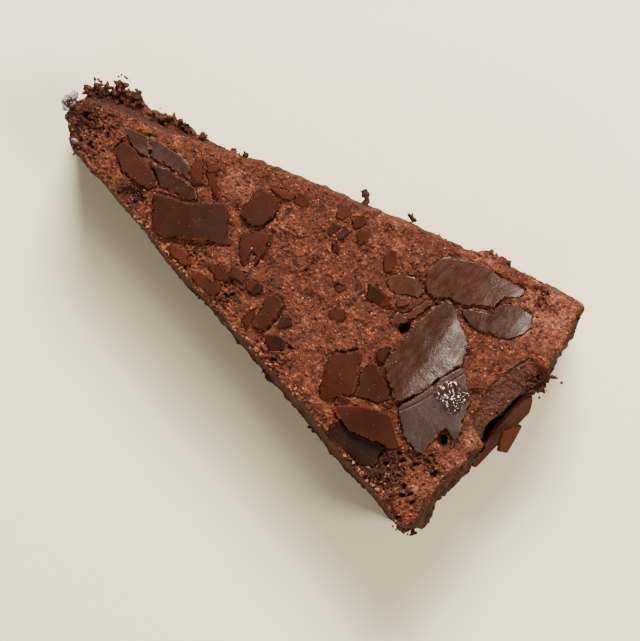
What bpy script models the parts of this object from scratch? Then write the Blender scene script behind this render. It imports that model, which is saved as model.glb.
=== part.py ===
"""A slice of dense chocolate cake: a blunt wedge of crumb under a brittle, broken top crust.

The slice lies along X, with its blunt tip at -X and the baked outer side at +X. It rests on Z = 0.
Outlines are read in millimetres, in the slice's own frame, and are turned to metres by MM.
"""

import math
import random

import bmesh
import bpy
from mathutils import Matrix, Vector
from mathutils.bvhtree import BVHTree

MM = 0.001
SEED = 7

# Driving dimensions of the slice
HEIGHT = 32.0 * MM
BELOW_BASE = 2.0 * MM  # how far the raw wedge runs below the base before its underside is cut flat
SHELF_LEVEL = 19.0 * MM  # the torn ledge beside the tip
UNDERCUT_LEVEL = 22.0 * MM  # the foot of the broken edge above that ledge
OUTSIDE = 100.0 * MM  # clear of the slice, whatever the direction
BELLY_LEVEL = 12.0 * MM  # where the baked outer side swells most

# Finish of the raw wedge
WEDGE_VOXEL = 1.3 * MM
SWELL = 1.6 * MM
SWELL_SIZE = 9.0 * MM
CRAG = 1.1 * MM
CRAG_SIZE = 3.2 * MM
CAKE_TRIANGLES = 6300

# Crust pieces
SHARD_THICKNESS = 1.0 * MM
FLAKE_THICKNESS = 1.3 * MM
FLAKE_STANDS_PROUD = 0.35 * MM
GAP = 0.3 * MM
POCKET_DEPTH = 6.0 * MM
BROKEN_EDGE = 0.12 * MM  # how far a broken edge wanders
EDGE_STEP = 2.2 * MM
GRID_STEP = 3.4 * MM

# The top's outline, side by side, from the tip along the lower cut face and round to the tip again
TIP = [(-59.2, 5.2), (-61.0, 1.0), (-58.4, -2.6), (-55.4, -5.5)]
LOWER_CUT = [(-45.0, -7.4), (-35.0, -9.8), (-25.0, -12.7), (-12.0, -15.4), (0.0, -17.9), (12.0, -20.5),
             (24.0, -23.5), (36.0, -26.8), (46.0, -29.4), (52.7, -31.9)]
OUTER_SIDE = [(54.7, -29.8), (53.7, -23.0), (54.7, -17.0), (56.0, -10.0), (57.0, -4.0), (57.6, 2.0),
              (58.8, 8.0), (59.3, 15.0), (58.9, 21.0), (58.3, 27.0)]
UPPER_CUT = [(57.8, 32.1), (50.0, 31.0), (40.0, 29.1), (30.0, 26.8), (20.0, 24.8), (10.0, 22.6),
             (0.0, 20.5), (-10.0, 18.3), (-20.0, 15.8), (-30.0, 13.0), (-40.0, 9.9), (-50.0, 7.4)]
# How far each side has flared out by each level: its outward direction, and the flare in millimetres
LEVELS = (-BELOW_BASE, BELLY_LEVEL, SHELF_LEVEL, UNDERCUT_LEVEL, HEIGHT)
FLARES = (
    (TIP, (-0.55, -0.15), (0.2, 0.7, 0.5, 0.4, 0.0)),
    (LOWER_CUT, (0.23, -0.97), (3.1, 2.3, 1.5, 1.2, 0.0)),
    (OUTER_SIDE, (0.97, -0.05), (2.8, 3.9, 3.1, 2.5, 0.0)),
    (UPPER_CUT, (-0.24, 0.97), (0.5, 0.5, 0.3, 0.3, 0.0)),
)
# The lower cut face's flare grows from a share at the tip to the whole of it, and falls off at the corner
CUT_FLARE_AT_TIP = 0.35
FULL_FLARE_FROM = 24.0
CORNER_FLARE_ALONG = (38.0, 52.0)
CORNER_FLARE_LOST = 0.55
# The outer side's flare dies away along it: where from and to, and the shares that it starts and ends with
OUTER_FLARE_ALONG = (2.0, 14.0)
OUTER_FLARE_SHARES = (1.1, 0.45)
# The ledge that was left beside the tip when the top broke off it
LEDGE_FROM = -26.0
LEDGE_FULL_AT = -50.0
LEDGE = (4.0, 4.1, 3.4, 0.4, 0.0)
LEDGE_AT_TIP = 0.9  # share of it at the first corner of the tip

# Large pieces of crust, each a node: outline, height of its top face at its middle, slope in x and y,
# how far its end droops and the bearing of that end, and how far its sides turn up across y.
SHARDS = {
    "tip_long": dict(
        outline=[(-48.0, 4.6), (-46.7, 5.6), (-42.5, 6.4), (-39.6, 2.5), (-42.2, 2.2), (-44.8, 3.1)],
        top=32.3, slope=(0.01, 0.10), turn_up=0.3),
    "tip_long_end": dict(
        outline=[(-42.0, 6.5), (-39.5, 6.9), (-34.2, 7.1), (-31.0, 6.2), (-29.8, 3.8), (-34.0, 3.6),
                 (-36.5, 3.6), (-39.0, 2.7)],
        top=32.3, slope=(0.0, 0.12), turn_up=0.4),
    "tip_lower": dict(
        outline=[(-46.4, 2.1), (-44.5, 2.4), (-40.6, 1.3), (-37.2, 0.4), (-34.7, -1.5), (-35.4, -3.3),
                 (-40.0, -3.6), (-43.2, -3.1), (-46.4, -0.8)],
        top=32.3, slope=(-0.01, -0.03)),
    "tip_middle": dict(
        outline=[(-38.3, 2.1), (-34.5, 2.9), (-27.4, 3.0), (-25.8, 1.4), (-26.8, -0.1), (-30.0, -0.4),
                 (-33.8, -1.2), (-36.2, 0.3)],
        top=32.2, slope=(0.0, 0.12)),
    "broad_rectangle": dict(
        outline=[(-34.0, -3.4), (-29.8, -1.6), (-27.0, -0.9), (-20.5, 3.7), (-18.6, 2.5), (-14.2, -3.1),
                 (-16.2, -4.1), (-19.4, -5.1), (-22.0, -7.0), (-25.0, -8.5), (-27.3, -9.9), (-29.6, -10.1)],
        top=33.3, slope=(0.0, 0.01), droop=2.2, bearing=30.0),
    "square": dict(
        outline=[(-15.0, 11.1), (-13.4, 11.6), (-10.2, 10.7), (-10.0, 7.0), (-10.7, 4.4), (-12.2, 3.4),
                 (-16.1, 3.9), (-16.4, 6.4)],
        top=32.6, slope=(0.03, 0.0)),
    "trapezoid": dict(
        outline=[(-13.5, 0.9), (-10.9, 2.8), (-8.3, 4.5), (-7.5, 2.4), (-6.9, -0.6), (-7.1, -3.2),
                 (-8.2, -1.2), (-9.3, -1.0), (-8.9, -2.8), (-8.6, -4.8), (-10.3, -3.9), (-11.9, -2.2),
                 (-12.9, -0.6)],
        top=32.6, slope=(0.03, 0.02)),
    "edge_oval": dict(
        outline=[(-0.8, -7.2), (0.5, -6.0), (1.6, -5.8), (3.1, -6.9), (3.4, -11.0), (2.9, -13.6),
                 (1.5, -14.8), (0.3, -14.4), (-0.2, -11.4)],
        top=32.7, slope=(0.03, 0.0)),
    "left_pentagon": dict(
        outline=[(18.6, -8.8), (20.8, -7.7), (22.5, -5.7), (23.7, -5.5), (24.8, -8.8), (25.9, -10.7),
                 (27.0, -13.6), (26.8, -14.9), (25.0, -15.4), (24.3, -17.1), (22.3, -19.0), (21.2, -18.8),
                 (19.7, -15.6), (18.3, -11.0)],
        top=32.7, slope=(0.01, 0.03), droop=0.5, bearing=-95.0),
    "centre_fan": dict(
        outline=[(25.7, -7.8), (26.4, -6.0), (27.4, -5.5), (29.0, -6.6), (29.9, -6.9), (31.2, -7.6),
                 (33.1, -8.9), (34.5, -10.2), (32.8, -12.4), (30.0, -13.3), (27.9, -14.1), (27.2, -12.0),
                 (26.3, -9.8)],
        top=32.2, slope=(-0.01, 0.02)),
    "ribbed_oval": dict(
        outline=[(19.1, 12.4), (20.8, 14.1), (23.1, 14.9), (25.3, 14.6), (27.0, 13.1), (26.7, 11.4),
                 (24.1, 11.0), (22.3, 9.8), (20.3, 9.6), (18.9, 10.4)],
        top=32.1, slope=(0.02, 0.02)),
    "long_strip": dict(
        outline=[(28.1, 12.7), (29.8, 12.7), (29.3, 9.5), (28.5, 7.6), (26.7, 5.3), (25.5, 3.4),
                 (24.3, 3.8), (24.8, 6.0), (26.2, 7.5), (27.3, 9.2), (27.9, 11.0)],
        top=32.2, slope=(0.06, 0.02)),
    "upper_plate": dict(
        outline=[(25.0, 19.6), (25.8, 21.8), (27.7, 23.3), (30.4, 24.6), (34.0, 25.9), (39.9, 25.9),
                 (44.6, 26.9), (44.9, 25.0), (43.3, 23.7), (41.7, 22.6), (41.4, 19.7), (37.3, 17.4),
                 (34.7, 15.7), (31.7, 15.5), (29.3, 13.8), (27.8, 14.0), (25.8, 15.4), (25.0, 16.5)],
        top=32.7, slope=(0.0, 0.0), droop=1.2, bearing=20.0),
    "corner_plate": dict(
        outline=[(35.7, 15.1), (37.7, 16.5), (42.1, 18.4), (42.3, 21.4), (44.7, 22.6), (49.4, 23.4),
                 (49.8, 22.0), (50.8, 21.0), (49.4, 17.3), (47.8, 15.6), (45.1, 14.5), (43.2, 14.2),
                 (39.9, 13.2), (37.6, 13.9), (36.4, 14.3)],
        top=32.5, slope=(-0.02, 0.0), droop=0.9, bearing=10.0),
    "main_plate": dict(
        outline=[(31.8, 14.9), (34.0, 14.7), (36.0, 13.3), (37.9, 12.1), (40.2, 10.7), (42.0, 8.2),
                 (43.1, 5.6), (42.2, 4.2), (41.0, 1.7), (40.1, -1.2), (39.3, -3.9), (37.7, -6.8),
                 (36.5, -9.4), (35.2, -9.7), (33.5, -8.0), (30.7, -6.2), (29.4, -5.2), (29.0, -1.8),
                 (29.2, 1.2), (29.4, 5.0), (29.8, 8.6), (30.7, 12.4)],
        top=33.3, slope=(-0.03, 0.0), droop=1.9, bearing=15.0),
    "glossy_plate": dict(
        outline=[(43.3, 4.8), (44.9, 3.6), (46.9, 1.9), (49.1, 0.2), (49.5, -2.2), (49.9, -4.8),
                 (51.3, -6.9), (51.8, -10.6), (51.2, -11.2), (50.0, -9.2), (48.0, -8.2), (47.3, -10.0),
                 (47.0, -12.4), (47.1, -14.9), (46.1, -16.2), (44.6, -15.9), (41.4, -15.1), (40.0, -13.5),
                 (38.4, -12.5), (37.0, -10.9), (37.5, -8.6), (39.4, -5.2), (40.6, -2.0), (41.5, 1.2),
                 (42.6, 3.7)],
        top=32.7, slope=(-0.05, 0.01), droop=1.2, bearing=-40.0),
    "rim_lit": dict(
        outline=[(25.5, -18.3), (27.0, -17.0), (30.1, -14.9), (33.0, -13.6), (36.8, -12.8), (38.4, -14.2),
                 (40.3, -15.7), (42.2, -17.1), (41.0, -18.8), (37.5, -19.4), (33.2, -20.2), (31.4, -21.0),
                 (28.0, -20.0), (26.2, -19.1)],
        top=33.5, slope=(0.0, 0.09)),
    "dark_underlayer": dict(
        outline=[(27.0, -22.5), (28.7, -20.8), (31.0, -19.6), (38.0, -18.6), (39.8, -20.0), (39.8, -23.0),
                 (40.2, -24.4), (38.0, -25.7), (35.0, -25.4), (30.0, -24.9), (27.4, -24.7)],
        top=31.5, slope=(0.0, 0.0)),
}

# Small flakes of crust, fused to the crumb: middle, length, width and bearing
FLAKES = [
    (-28.9, 6.6, 5.4, 2.0, -45), (-24.6, 6.1, 6.0, 1.6, -38), (-27.4, 8.6, 3.2, 1.6, 5),
    (-11.8, 13.3, 6.4, 1.3, 15), (-6.5, 14.1, 4.0, 2.2, 10), (-9.0, -7.1, 4.4, 2.3, 5),
    (-4.3, -7.4, 4.2, 2.5, -5), (-12.6, -9.1, 6.0, 2.6, -5), (-13.3, -12.7, 7.2, 3.0, -3),
    (-21.5, -10.8, 6.2, 2.6, -15), (-1.5, -12.8, 5.6, 1.3, -80), (5.6, -9.8, 3.6, 2.5, -65),
    (6.4, -14.6, 5.0, 2.9, -10), (14.1, -1.7, 4.0, 2.3, 30), (27.3, -3.2, 3.6, 1.7, -80),
    (2.3, 17.3, 3.8, 2.8, 80), (6.2, 17.6, 3.7, 3.0, 20), (9.3, 15.4, 3.9, 2.4, -50),
    (2.5, 13.2, 3.4, 2.3, 70), (5.3, 13.6, 3.5, 1.9, 80), (5.3, 10.0, 2.5, 2.2, 0),
    (16.6, 14.5, 5.6, 2.3, -70), (19.2, 6.7, 7.0, 2.9, 0), (24.0, 8.3, 3.0, 1.5, 35),
]
FLAKE_CORNERS = 7

# Places where the crust has broken in or away: middle, and half-lengths of an ellipsoid cut away
PITS = [
    ((-30.4, -1.2, 31.5), (3.4, 1.2, 5.0)),
    ((27.6, 4.9, 31.5), (1.9, 2.3, 3.4)),
    ((49.6, -10.3, 31.0), (2.1, 1.9, 3.2)),
    ((-37.5, -6.2, 32.6), (3.8, 2.0, 2.0)),
    ((49.0, 1.9, 31.6), (1.3, 1.1, 2.2)),
    ((-50.8, 5.2, 32.0), (0.9, 1.6, 2.0)),
    ((47.6, 28.3, 32.0), (2.0, 1.4, 2.2)),
    ((51.3, 9.0, 31.8), (0.9, 3.4, 1.6)),
    ((-17.4, 4.0, 32.2), (1.0, 1.8, 1.6)),
    ((24.2, -18.3, 31.6), (1.4, 1.1, 1.8)),
    ((50.0, 22.8, 32.0), (1.1, 0.8, 1.5)),
    ((56.3, -2.2, 25.5), (1.3, 3.0, 5.5)),
]
BELOW_BLOCK = Vector((80.0, 50.0, 12.0)) * MM  # half the length, half the width and the depth cut off below

# The slumped strip along the outer side: its outline, and the plane that its top is cut to
SLUMP_OUTLINE = [(54.4, 14.8), (52.6, 10.6), (51.2, 6.2), (50.8, 1.2), (51.9, -3.6), (55.2, -5.6),
                 (66.0, -5.6), (66.0, 14.8)]
SLUMP_TOP = 31.0 * MM
SLUMP_FALL = -0.24  # outwards
SLUMP_RISE = 0.08  # along the outer side
SLUMP_CUT_TO = HEIGHT * 1.3  # top of the block cut away over the strip
# The loosened sheet, drawn in y and z from its foot, which leans back and is turned with the outer side
SHEET_OUTLINE = [(-11.6, 0.0), (-12.2, 7.0), (-11.8, 12.0), (-9.0, 16.5), (-5.2, 20.4), (-1.4, 23.2),
                 (2.6, 24.4), (6.4, 23.6), (8.4, 19.0), (7.6, 9.0), (5.9, 0.0)]
SHEET_FOOT = Vector((62.6, 0.0, 3.1)) * MM
SHEET_LEAN = 12.0
SHEET_TURN = -9.0
# The torn face that the sheet came off, drawn in the sheet's own y and z, and how far it lies behind it
RECESS_OUTLINE = [(-12.8, -1.0), (-14.4, 6.0), (-14.2, 12.8), (-12.2, 18.0), (-9.4, 22.2), (-7.2, 24.6),
                  (-6.0, 40.0), (7.0, 40.0), (9.6, 23.0), (9.8, 15.0), (8.8, 7.0), (7.4, -1.0)]
RECESS_BEHIND = 1.0 * MM
RECESS_TO = 12.0 * MM
SPLINTER_OUTLINE = [(0.4, 3.0), (2.2, 0.9), (4.3, -2.2), (2.4, -2.9), (-0.4, -3.4), (-2.9, -3.9),
                    (-3.9, -0.8), (-2.0, 1.3)]
SPLINTER_MIDDLE = Vector((61.1, -1.9, 21.3)) * MM
SPLINTER_LEAN = 34.0
SPLINTER_THICKNESS = 1.0 * MM

# Lumps of crumb that stand out from the sides, in rows: how many, from which side, where along it,
# how high, and how large
CRUMB_ROWS = (
    (14, (0, -1), (-60.0, -37.0), (13.0, 18.5), (1.1, 2.0)),
    (14, (0, -1), (-28.0, 52.0), (25.0, 30.5), (0.7, 1.4)),
    (12, (0, 1), (-16.0, 50.0), (1.5, 5.0), (0.8, 1.4)),
    (8, (0, 1), (-54.0, 44.0), (8.0, 27.0), (0.7, 1.1)),
    (12, (-1, 0), (-28.0, 27.0), (3.0, 27.0), (0.8, 1.5)),
    (5, (1, 0), (-3.0, 7.0), (4.0, 30.0), (0.9, 1.5)),
)
# The sugared lump at the very tip, the two lumps curled over the upper edge, those at the slumped strip's
# end and the one at the lower corner
LUMPS = [(-61.2, 2.6, 31.0, 1.7), (33.4, 28.2, 30.4, 1.4), (36.8, 28.9, 30.6, 1.5), (60.0, 13.4, 26.5, 1.4),
         (60.1, 10.9, 26.8, 1.2), (54.2, -31.4, 24.0, 1.5)]

CRUMB_COLOUR = (0.165, 0.062, 0.032, 1.0)
SHARD_COLOUR = (0.075, 0.028, 0.016, 1.0)


def clear_scene():
    for obj in list(bpy.data.objects):
        bpy.data.objects.remove(obj)


def collection(name):
    made = bpy.data.collections.new(name)
    bpy.context.scene.collection.children.link(made)
    return made


def material(name, colour, roughness):
    made = bpy.data.materials.new(name)
    made.use_nodes = True
    shader = made.node_tree.nodes["Principled BSDF"]
    shader.inputs["Base Color"].default_value = colour
    shader.inputs["Roughness"].default_value = roughness
    shader.inputs["Metallic"].default_value = 0.0
    return made


def object_from(bm, name, group, look=None):
    mesh = bpy.data.meshes.new(name)
    bm.to_mesh(mesh)
    bm.free()
    obj = bpy.data.objects.new(name, mesh)
    group.objects.link(obj)
    if look:
        mesh.materials.append(look)
    return obj


def as_cutter(obj):
    obj.hide_render = True
    obj.display_type = "WIRE"
    return obj


def baked(obj):
    """Puts what obj's modifiers make into its own mesh, and drops the modifiers."""
    graph = bpy.context.evaluated_depsgraph_get()
    mesh = bpy.data.meshes.new_from_object(obj.evaluated_get(graph))
    looks = list(obj.data.materials)
    obj.modifiers.clear()
    obj.data = mesh
    if looks and not mesh.materials:
        mesh.materials.append(looks[0])
    return obj


# The raw wedge
def grows(x, start, end):
    return min(1.0, max(0.0, (x - start) / (end - start)))


def outline_at(level):
    """The slice's outline at one of the levels: every side moved out by its flare there."""
    points = []
    for side, direction, flare in FLARES:
        for x, y in side:
            out = Vector(direction) * flare[level]
            if side is LOWER_CUT:
                out *= CUT_FLARE_AT_TIP + (1 - CUT_FLARE_AT_TIP) * grows(x, LOWER_CUT[0][0], FULL_FLARE_FROM)
                out *= 1 - CORNER_FLARE_LOST * grows(x, *CORNER_FLARE_ALONG)
            if side is OUTER_SIDE:
                first, last = OUTER_FLARE_SHARES
                out *= first + (last - first) * grows(y, *OUTER_FLARE_ALONG)
            if side is UPPER_CUT:
                out.y += LEDGE[level] * grows(x, LEDGE_FROM, LEDGE_FULL_AT)
            points.append((Vector((x, y)) + out) * MM)
    points[0].y += LEDGE[level] * LEDGE_AT_TIP * MM
    return points


def add_wedge(group, look):
    """A loft through the outlines at all levels, capped at both ends."""
    bm = bmesh.new()
    rings = [[bm.verts.new((p.x, p.y, z)) for p in outline_at(i)] for i, z in enumerate(LEVELS)]
    for lower, upper in zip(rings, rings[1:]):
        for i, corner in enumerate(lower):
            j = (i + 1) % len(lower)
            bm.faces.new((corner, lower[j], upper[j], upper[i]))
    bm.faces.new(reversed(rings[0]))
    bm.faces.new(rings[-1])
    bmesh.ops.triangulate(bm, faces=[f for f in bm.faces if len(f.verts) > 4])
    return object_from(bm, "cake", group, look)


def add_displacement(obj, name, kind, size, strength):
    texture = bpy.data.textures.new(name, kind)
    texture.noise_scale = size
    modifier = obj.modifiers.new(name, "DISPLACE")
    modifier.texture = texture
    modifier.texture_coords = "GLOBAL"
    modifier.strength = strength
    modifier.mid_level = 0.5


def roughen(wedge):
    """Even voxels, then the slow swell and the small crags of crumb, in as many triangles as allowed."""
    remesh = wedge.modifiers.new("even", "REMESH")
    remesh.mode = "VOXEL"
    remesh.voxel_size = WEDGE_VOXEL
    add_displacement(wedge, "swell", "CLOUDS", SWELL_SIZE, SWELL)
    add_displacement(wedge, "crags", "STUCCI", CRAG_SIZE, CRAG)
    baked(wedge)
    count = sum(len(face.vertices) - 2 for face in wedge.data.polygons)
    thin = wedge.modifiers.new("thin", "DECIMATE")
    thin.ratio = CAKE_TRIANGLES / count
    return baked(wedge)


# Crust pieces
def broken_outline(outline, rng):
    """The outline's corners with points along each side, which wander as a broken edge does."""
    points = []
    for i, corner in enumerate(outline):
        a = Vector(corner) * MM
        b = Vector(outline[(i + 1) % len(outline)]) * MM
        side = b - a
        count = max(1, round(side.length / EDGE_STEP))
        across = Vector((-side.y, side.x)).normalized()
        for k in range(count):
            wander = rng.uniform(-BROKEN_EDGE, BROKEN_EDGE) if k else 0.0
            points.append(a + side * (k / count) + across * wander)
    return points


def is_clockwise(points):
    return sum(a.cross(b) for a, b in zip(points, points[1:] + points[:1])) < 0


def grown(points, by):
    """The outline moved outwards by a distance."""
    made = []
    for i, here in enumerate(points):
        back = (here - points[i - 1]).normalized()
        ahead = (points[(i + 1) % len(points)] - here).normalized()
        outward = Vector((back.y + ahead.y, -back.x - ahead.x)).normalized()
        spread = max(0.6, outward.dot(Vector((back.y, -back.x))))
        made.append(here + outward * by / spread)
    return made


def shard_height(shape, middle, reach, at):
    """Height of a shard's top face over a point: sloped, turned up at its sides, drooping at one end."""
    x, y = at.x - middle.x, at.y - middle.y
    slope_x, slope_y = shape.get("slope", (0.0, 0.0))
    bearing = math.radians(shape.get("bearing", 0.0))
    along = max(0.0, (x * math.cos(bearing) + y * math.sin(bearing)) / reach)
    side = y / reach
    return (
        shape["top"] * MM
        + slope_x * x
        + slope_y * y
        - shape.get("droop", 0.0) * MM * along**2
        + shape.get("turn_up", 0.0) * MM * (side * 2.0) ** 2
    )


def gridded_face(points):
    """A flat face in the outline, cut along a square grid, so that it can bend."""
    bm = bmesh.new()
    bm.faces.new([bm.verts.new((p.x, p.y, 0.0)) for p in points])
    for axis in (0, 1):
        low = min(p[axis] for p in points)
        high = max(p[axis] for p in points)
        cuts = max(1, round((high - low) / GRID_STEP))
        normal = Vector((1, 0, 0)) if axis == 0 else Vector((0, 1, 0))
        for k in range(1, cuts):
            at = normal * (low + (high - low) * k / cuts)
            bmesh.ops.bisect_plane(bm, geom=bm.verts[:] + bm.edges[:] + bm.faces[:], plane_co=at, plane_no=normal)
    bmesh.ops.triangulate(bm, faces=bm.faces[:])
    return bm


def shard_solid(name, points, shape, group, low, high, look=None):
    """A bent sheet over the outline, from low to high of the shard's top face."""
    middle = sum((Vector(p) for p in shape["outline"]), Vector((0.0, 0.0))) / len(shape["outline"]) * MM
    reach = max((Vector(p) * MM - middle).length for p in shape["outline"])
    bm = gridded_face(points)
    for vertex in bm.verts:
        vertex.co.z = shard_height(shape, middle, reach, vertex.co) + low
    bm.normal_update()
    if bm.faces[:][0].normal.z < 0:
        bmesh.ops.reverse_faces(bm, faces=bm.faces[:])
    obj = object_from(bm, name, group, look)
    sheet = obj.modifiers.new("thickness", "SOLIDIFY")
    sheet.thickness = high - low
    sheet.offset = 1.0
    return obj


def add_shard(name, shape, group, cutters, look, rng):
    points = broken_outline(shape["outline"], rng)
    if is_clockwise(points):
        points.reverse()
    shard = shard_solid("shard_" + name, points, shape, group, -SHARD_THICKNESS, 0.0, look)
    pocket = shard_solid("pocket_" + name, grown(points, GAP * 1.25), shape, cutters,
                         -SHARD_THICKNESS - GAP, POCKET_DEPTH)
    as_cutter(pocket)
    return shard


def add_flake(index, flake, ground, group, rng):
    """A small flake bedded in the crumb, as proud of the highest crumb under it as all of them are."""
    x, y, length, width, bearing = flake
    middle = Vector((x, y)) * MM
    turn = Matrix.Rotation(math.radians(bearing), 2)
    points = []
    for k in range(FLAKE_CORNERS):
        angle = math.tau * (k + rng.uniform(-0.25, 0.25)) / FLAKE_CORNERS
        reach = rng.uniform(0.9, 1.12)
        corner = Vector((math.cos(angle) * length, math.sin(angle) * width)) * (reach * MM / 2)
        points.append(middle + turn @ corner)
    heights = []
    for p in [middle] + [middle.lerp(q, 0.8) for q in points]:
        hit = ground.ray_cast(Vector((p.x, p.y, HEIGHT * 2)), Vector((0, 0, -1)))[0]
        heights.append(hit.z if hit else HEIGHT)
    top = sorted(heights)[-2] + FLAKE_STANDS_PROUD
    bm = bmesh.new()
    face = bm.faces.new([bm.verts.new((p.x, p.y, top - FLAKE_THICKNESS)) for p in points])
    lifted = bmesh.ops.extrude_face_region(bm, geom=[face])["geom"]
    bmesh.ops.translate(
        bm, verts=[v for v in lifted if isinstance(v, bmesh.types.BMVert)], vec=(0, 0, FLAKE_THICKNESS))
    bmesh.ops.recalc_face_normals(bm, faces=bm.faces[:])
    return object_from(bm, f"flake_{index:02d}", group)


def add_crumb(name, middle, radius, group, rng):
    """A knobbly lump of crumb."""
    bm = bmesh.new()
    bmesh.ops.create_icosphere(bm, subdivisions=1, radius=radius)
    for vertex in bm.verts:
        vertex.co *= rng.uniform(0.75, 1.2)
    bmesh.ops.rotate(bm, verts=bm.verts[:], matrix=Matrix.Rotation(rng.uniform(0, math.tau), 3, "Z"))
    bmesh.ops.translate(bm, verts=bm.verts[:], vec=middle)
    return object_from(bm, name, group)


def add_crumb_row(row, ground, group, rng):
    """Lumps set where a level line from outside meets the side of the slice."""
    count, towards, reach, heights, radii = CRUMB_ROWS[row]
    step = Vector((*towards, 0.0))
    for k in range(count):
        along = reach[0] + (reach[1] - reach[0]) * (k + rng.uniform(0.1, 0.9)) / count
        height = rng.uniform(*heights) * MM
        radius = rng.uniform(*radii) * MM
        start = Vector((along * MM * abs(towards[1]), along * MM * abs(towards[0]), height)) - step * OUTSIDE
        hit = ground.ray_cast(start, step)[0]
        if hit:
            add_crumb(f"crumb_{row}_{k:02d}", hit + step * radius * 0.35, radius, group, rng)


# What is cut away
def add_pit(index, middle, halves, cutters):
    bm = bmesh.new()
    bmesh.ops.create_icosphere(bm, subdivisions=2, radius=1.0)
    bmesh.ops.scale(bm, verts=bm.verts[:], vec=Vector(halves) * MM)
    bmesh.ops.translate(bm, verts=bm.verts[:], vec=Vector(middle) * MM)
    return as_cutter(object_from(bm, f"pit_{index:02d}", cutters))


def add_box(name, low, high, group):
    bm = bmesh.new()
    bmesh.ops.create_cube(bm, size=1.0)
    bmesh.ops.scale(bm, verts=bm.verts[:], vec=high - low)
    bmesh.ops.translate(bm, verts=bm.verts[:], vec=(low + high) / 2)
    return as_cutter(object_from(bm, name, group))


def add_slump_cutter(cutters):
    """The block above the slumped strip, with a floor that falls away towards the outer side."""
    points = [Vector(p) * MM for p in SLUMP_OUTLINE]
    inner = min(p.x for p in points)
    middle = sum(p.y for p in points) / len(points)
    bm = bmesh.new()
    if is_clockwise(points):
        points.reverse()
    for p in points:
        bm.verts.new((p.x, p.y, SLUMP_TOP + (p.x - inner) * SLUMP_FALL + (p.y - middle) * SLUMP_RISE))
    face = bm.faces.new(bm.verts[:])
    lifted = bmesh.ops.extrude_face_region(bm, geom=[face])["geom"]
    for vertex in [v for v in lifted if isinstance(v, bmesh.types.BMVert)]:
        vertex.co.z = SLUMP_CUT_TO
    bmesh.ops.recalc_face_normals(bm, faces=bm.faces[:])
    return as_cutter(object_from(bm, "slump", cutters))


def beside_slice():
    """Where the loosened sheet stands, and how it leans and turns."""
    turn = Matrix.Rotation(math.radians(SHEET_TURN), 4, "Z")
    lean = Matrix.Rotation(math.radians(-SHEET_LEAN), 4, "Y")
    return Matrix.Translation(SHEET_FOOT) @ turn @ lean


def add_recess(cutters):
    """The torn gap behind the side sheet: its outline, drawn out from just behind the sheet."""
    bm = bmesh.new()
    face = bm.faces.new([bm.verts.new((-RECESS_BEHIND, y * MM, z * MM)) for y, z in RECESS_OUTLINE])
    lifted = bmesh.ops.extrude_face_region(bm, geom=[face])["geom"]
    for vertex in [v for v in lifted if isinstance(v, bmesh.types.BMVert)]:
        vertex.co.x = RECESS_TO
    bmesh.ops.recalc_face_normals(bm, faces=bm.faces[:])
    bmesh.ops.transform(bm, matrix=beside_slice(), verts=bm.verts[:])
    return as_cutter(object_from(bm, "recess", cutters))


# The side crust
def add_upright_sheet(name, outline, thickness, group, look, rng):
    """A broken sheet drawn in y and z, standing on edge about its own middle."""
    points = broken_outline(outline, rng)
    if is_clockwise(points):
        points.reverse()
    bm = gridded_face(points)
    obj = object_from(bm, name, group, look)
    sheet = obj.modifiers.new("thickness", "SOLIDIFY")
    sheet.thickness = thickness
    sheet.offset = 0.0
    return obj


def add_side_crust(group, look, rng):
    upright = Matrix.Rotation(math.radians(90), 4, "Z") @ Matrix.Rotation(math.radians(90), 4, "X")
    sheet = add_upright_sheet("shard_side_sheet", SHEET_OUTLINE, SHARD_THICKNESS, group, look, rng)
    sheet.matrix_world = beside_slice() @ upright
    splinter = add_upright_sheet(
        "shard_side_splinter", SPLINTER_OUTLINE, SPLINTER_THICKNESS, group, look, rng)
    lean = Matrix.Rotation(math.radians(-SPLINTER_LEAN), 4, "Y")
    splinter.matrix_world = Matrix.Translation(SPLINTER_MIDDLE) @ lean @ upright
    return sheet, splinter


def join_by_union(obj, group):
    """One Boolean union with all of a collection, whose objects are then removed."""
    union = obj.modifiers.new("fuse", "BOOLEAN")
    union.operation = "UNION"
    union.operand_type = "COLLECTION"
    union.collection = group
    union.solver = "EXACT"
    baked(obj)
    for member in list(group.objects):
        bpy.data.objects.remove(member)
    bpy.data.collections.remove(group)


def cut_by(obj, group):
    cut = obj.modifiers.new("cut", "BOOLEAN")
    cut.operation = "DIFFERENCE"
    cut.operand_type = "COLLECTION"
    cut.collection = group
    cut.solver = "EXACT"
    baked(obj)


def drop_scraps(obj):
    """Keeps the largest connected piece of the mesh."""
    bm = bmesh.new()
    bm.from_mesh(obj.data)
    left = set(bm.verts)
    pieces = []
    while left:
        piece = set()
        edge = [left.pop()]
        while edge:
            vertex = edge.pop()
            piece.add(vertex)
            near = [e.other_vert(vertex) for e in vertex.link_edges]
            for other in near:
                if other in left:
                    left.discard(other)
                    edge.append(other)
        pieces.append(piece)
    pieces.sort(key=len)
    scraps = [v for piece in pieces[:-1] for v in piece]
    bmesh.ops.delete(bm, geom=scraps, context="VERTS")
    bm.to_mesh(obj.data)
    bm.free()


def stand_on_origin(group):
    """Moves everything so that the middle of the slice's footprint is at X = Y = 0."""
    bpy.context.view_layer.update()
    graph = bpy.context.evaluated_depsgraph_get()
    corners = []
    for obj in group.objects:
        shown = obj.evaluated_get(graph)
        corners += [shown.matrix_world @ v.co for v in shown.data.vertices]
    low = Vector(min(c[i] for c in corners) for i in range(3))
    high = Vector(max(c[i] for c in corners) for i in range(3))
    shift = -(low + high) / 2
    shift.z = 0.0
    for obj in group.objects:
        obj.matrix_world = Matrix.Translation(shift) @ obj.matrix_world


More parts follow.
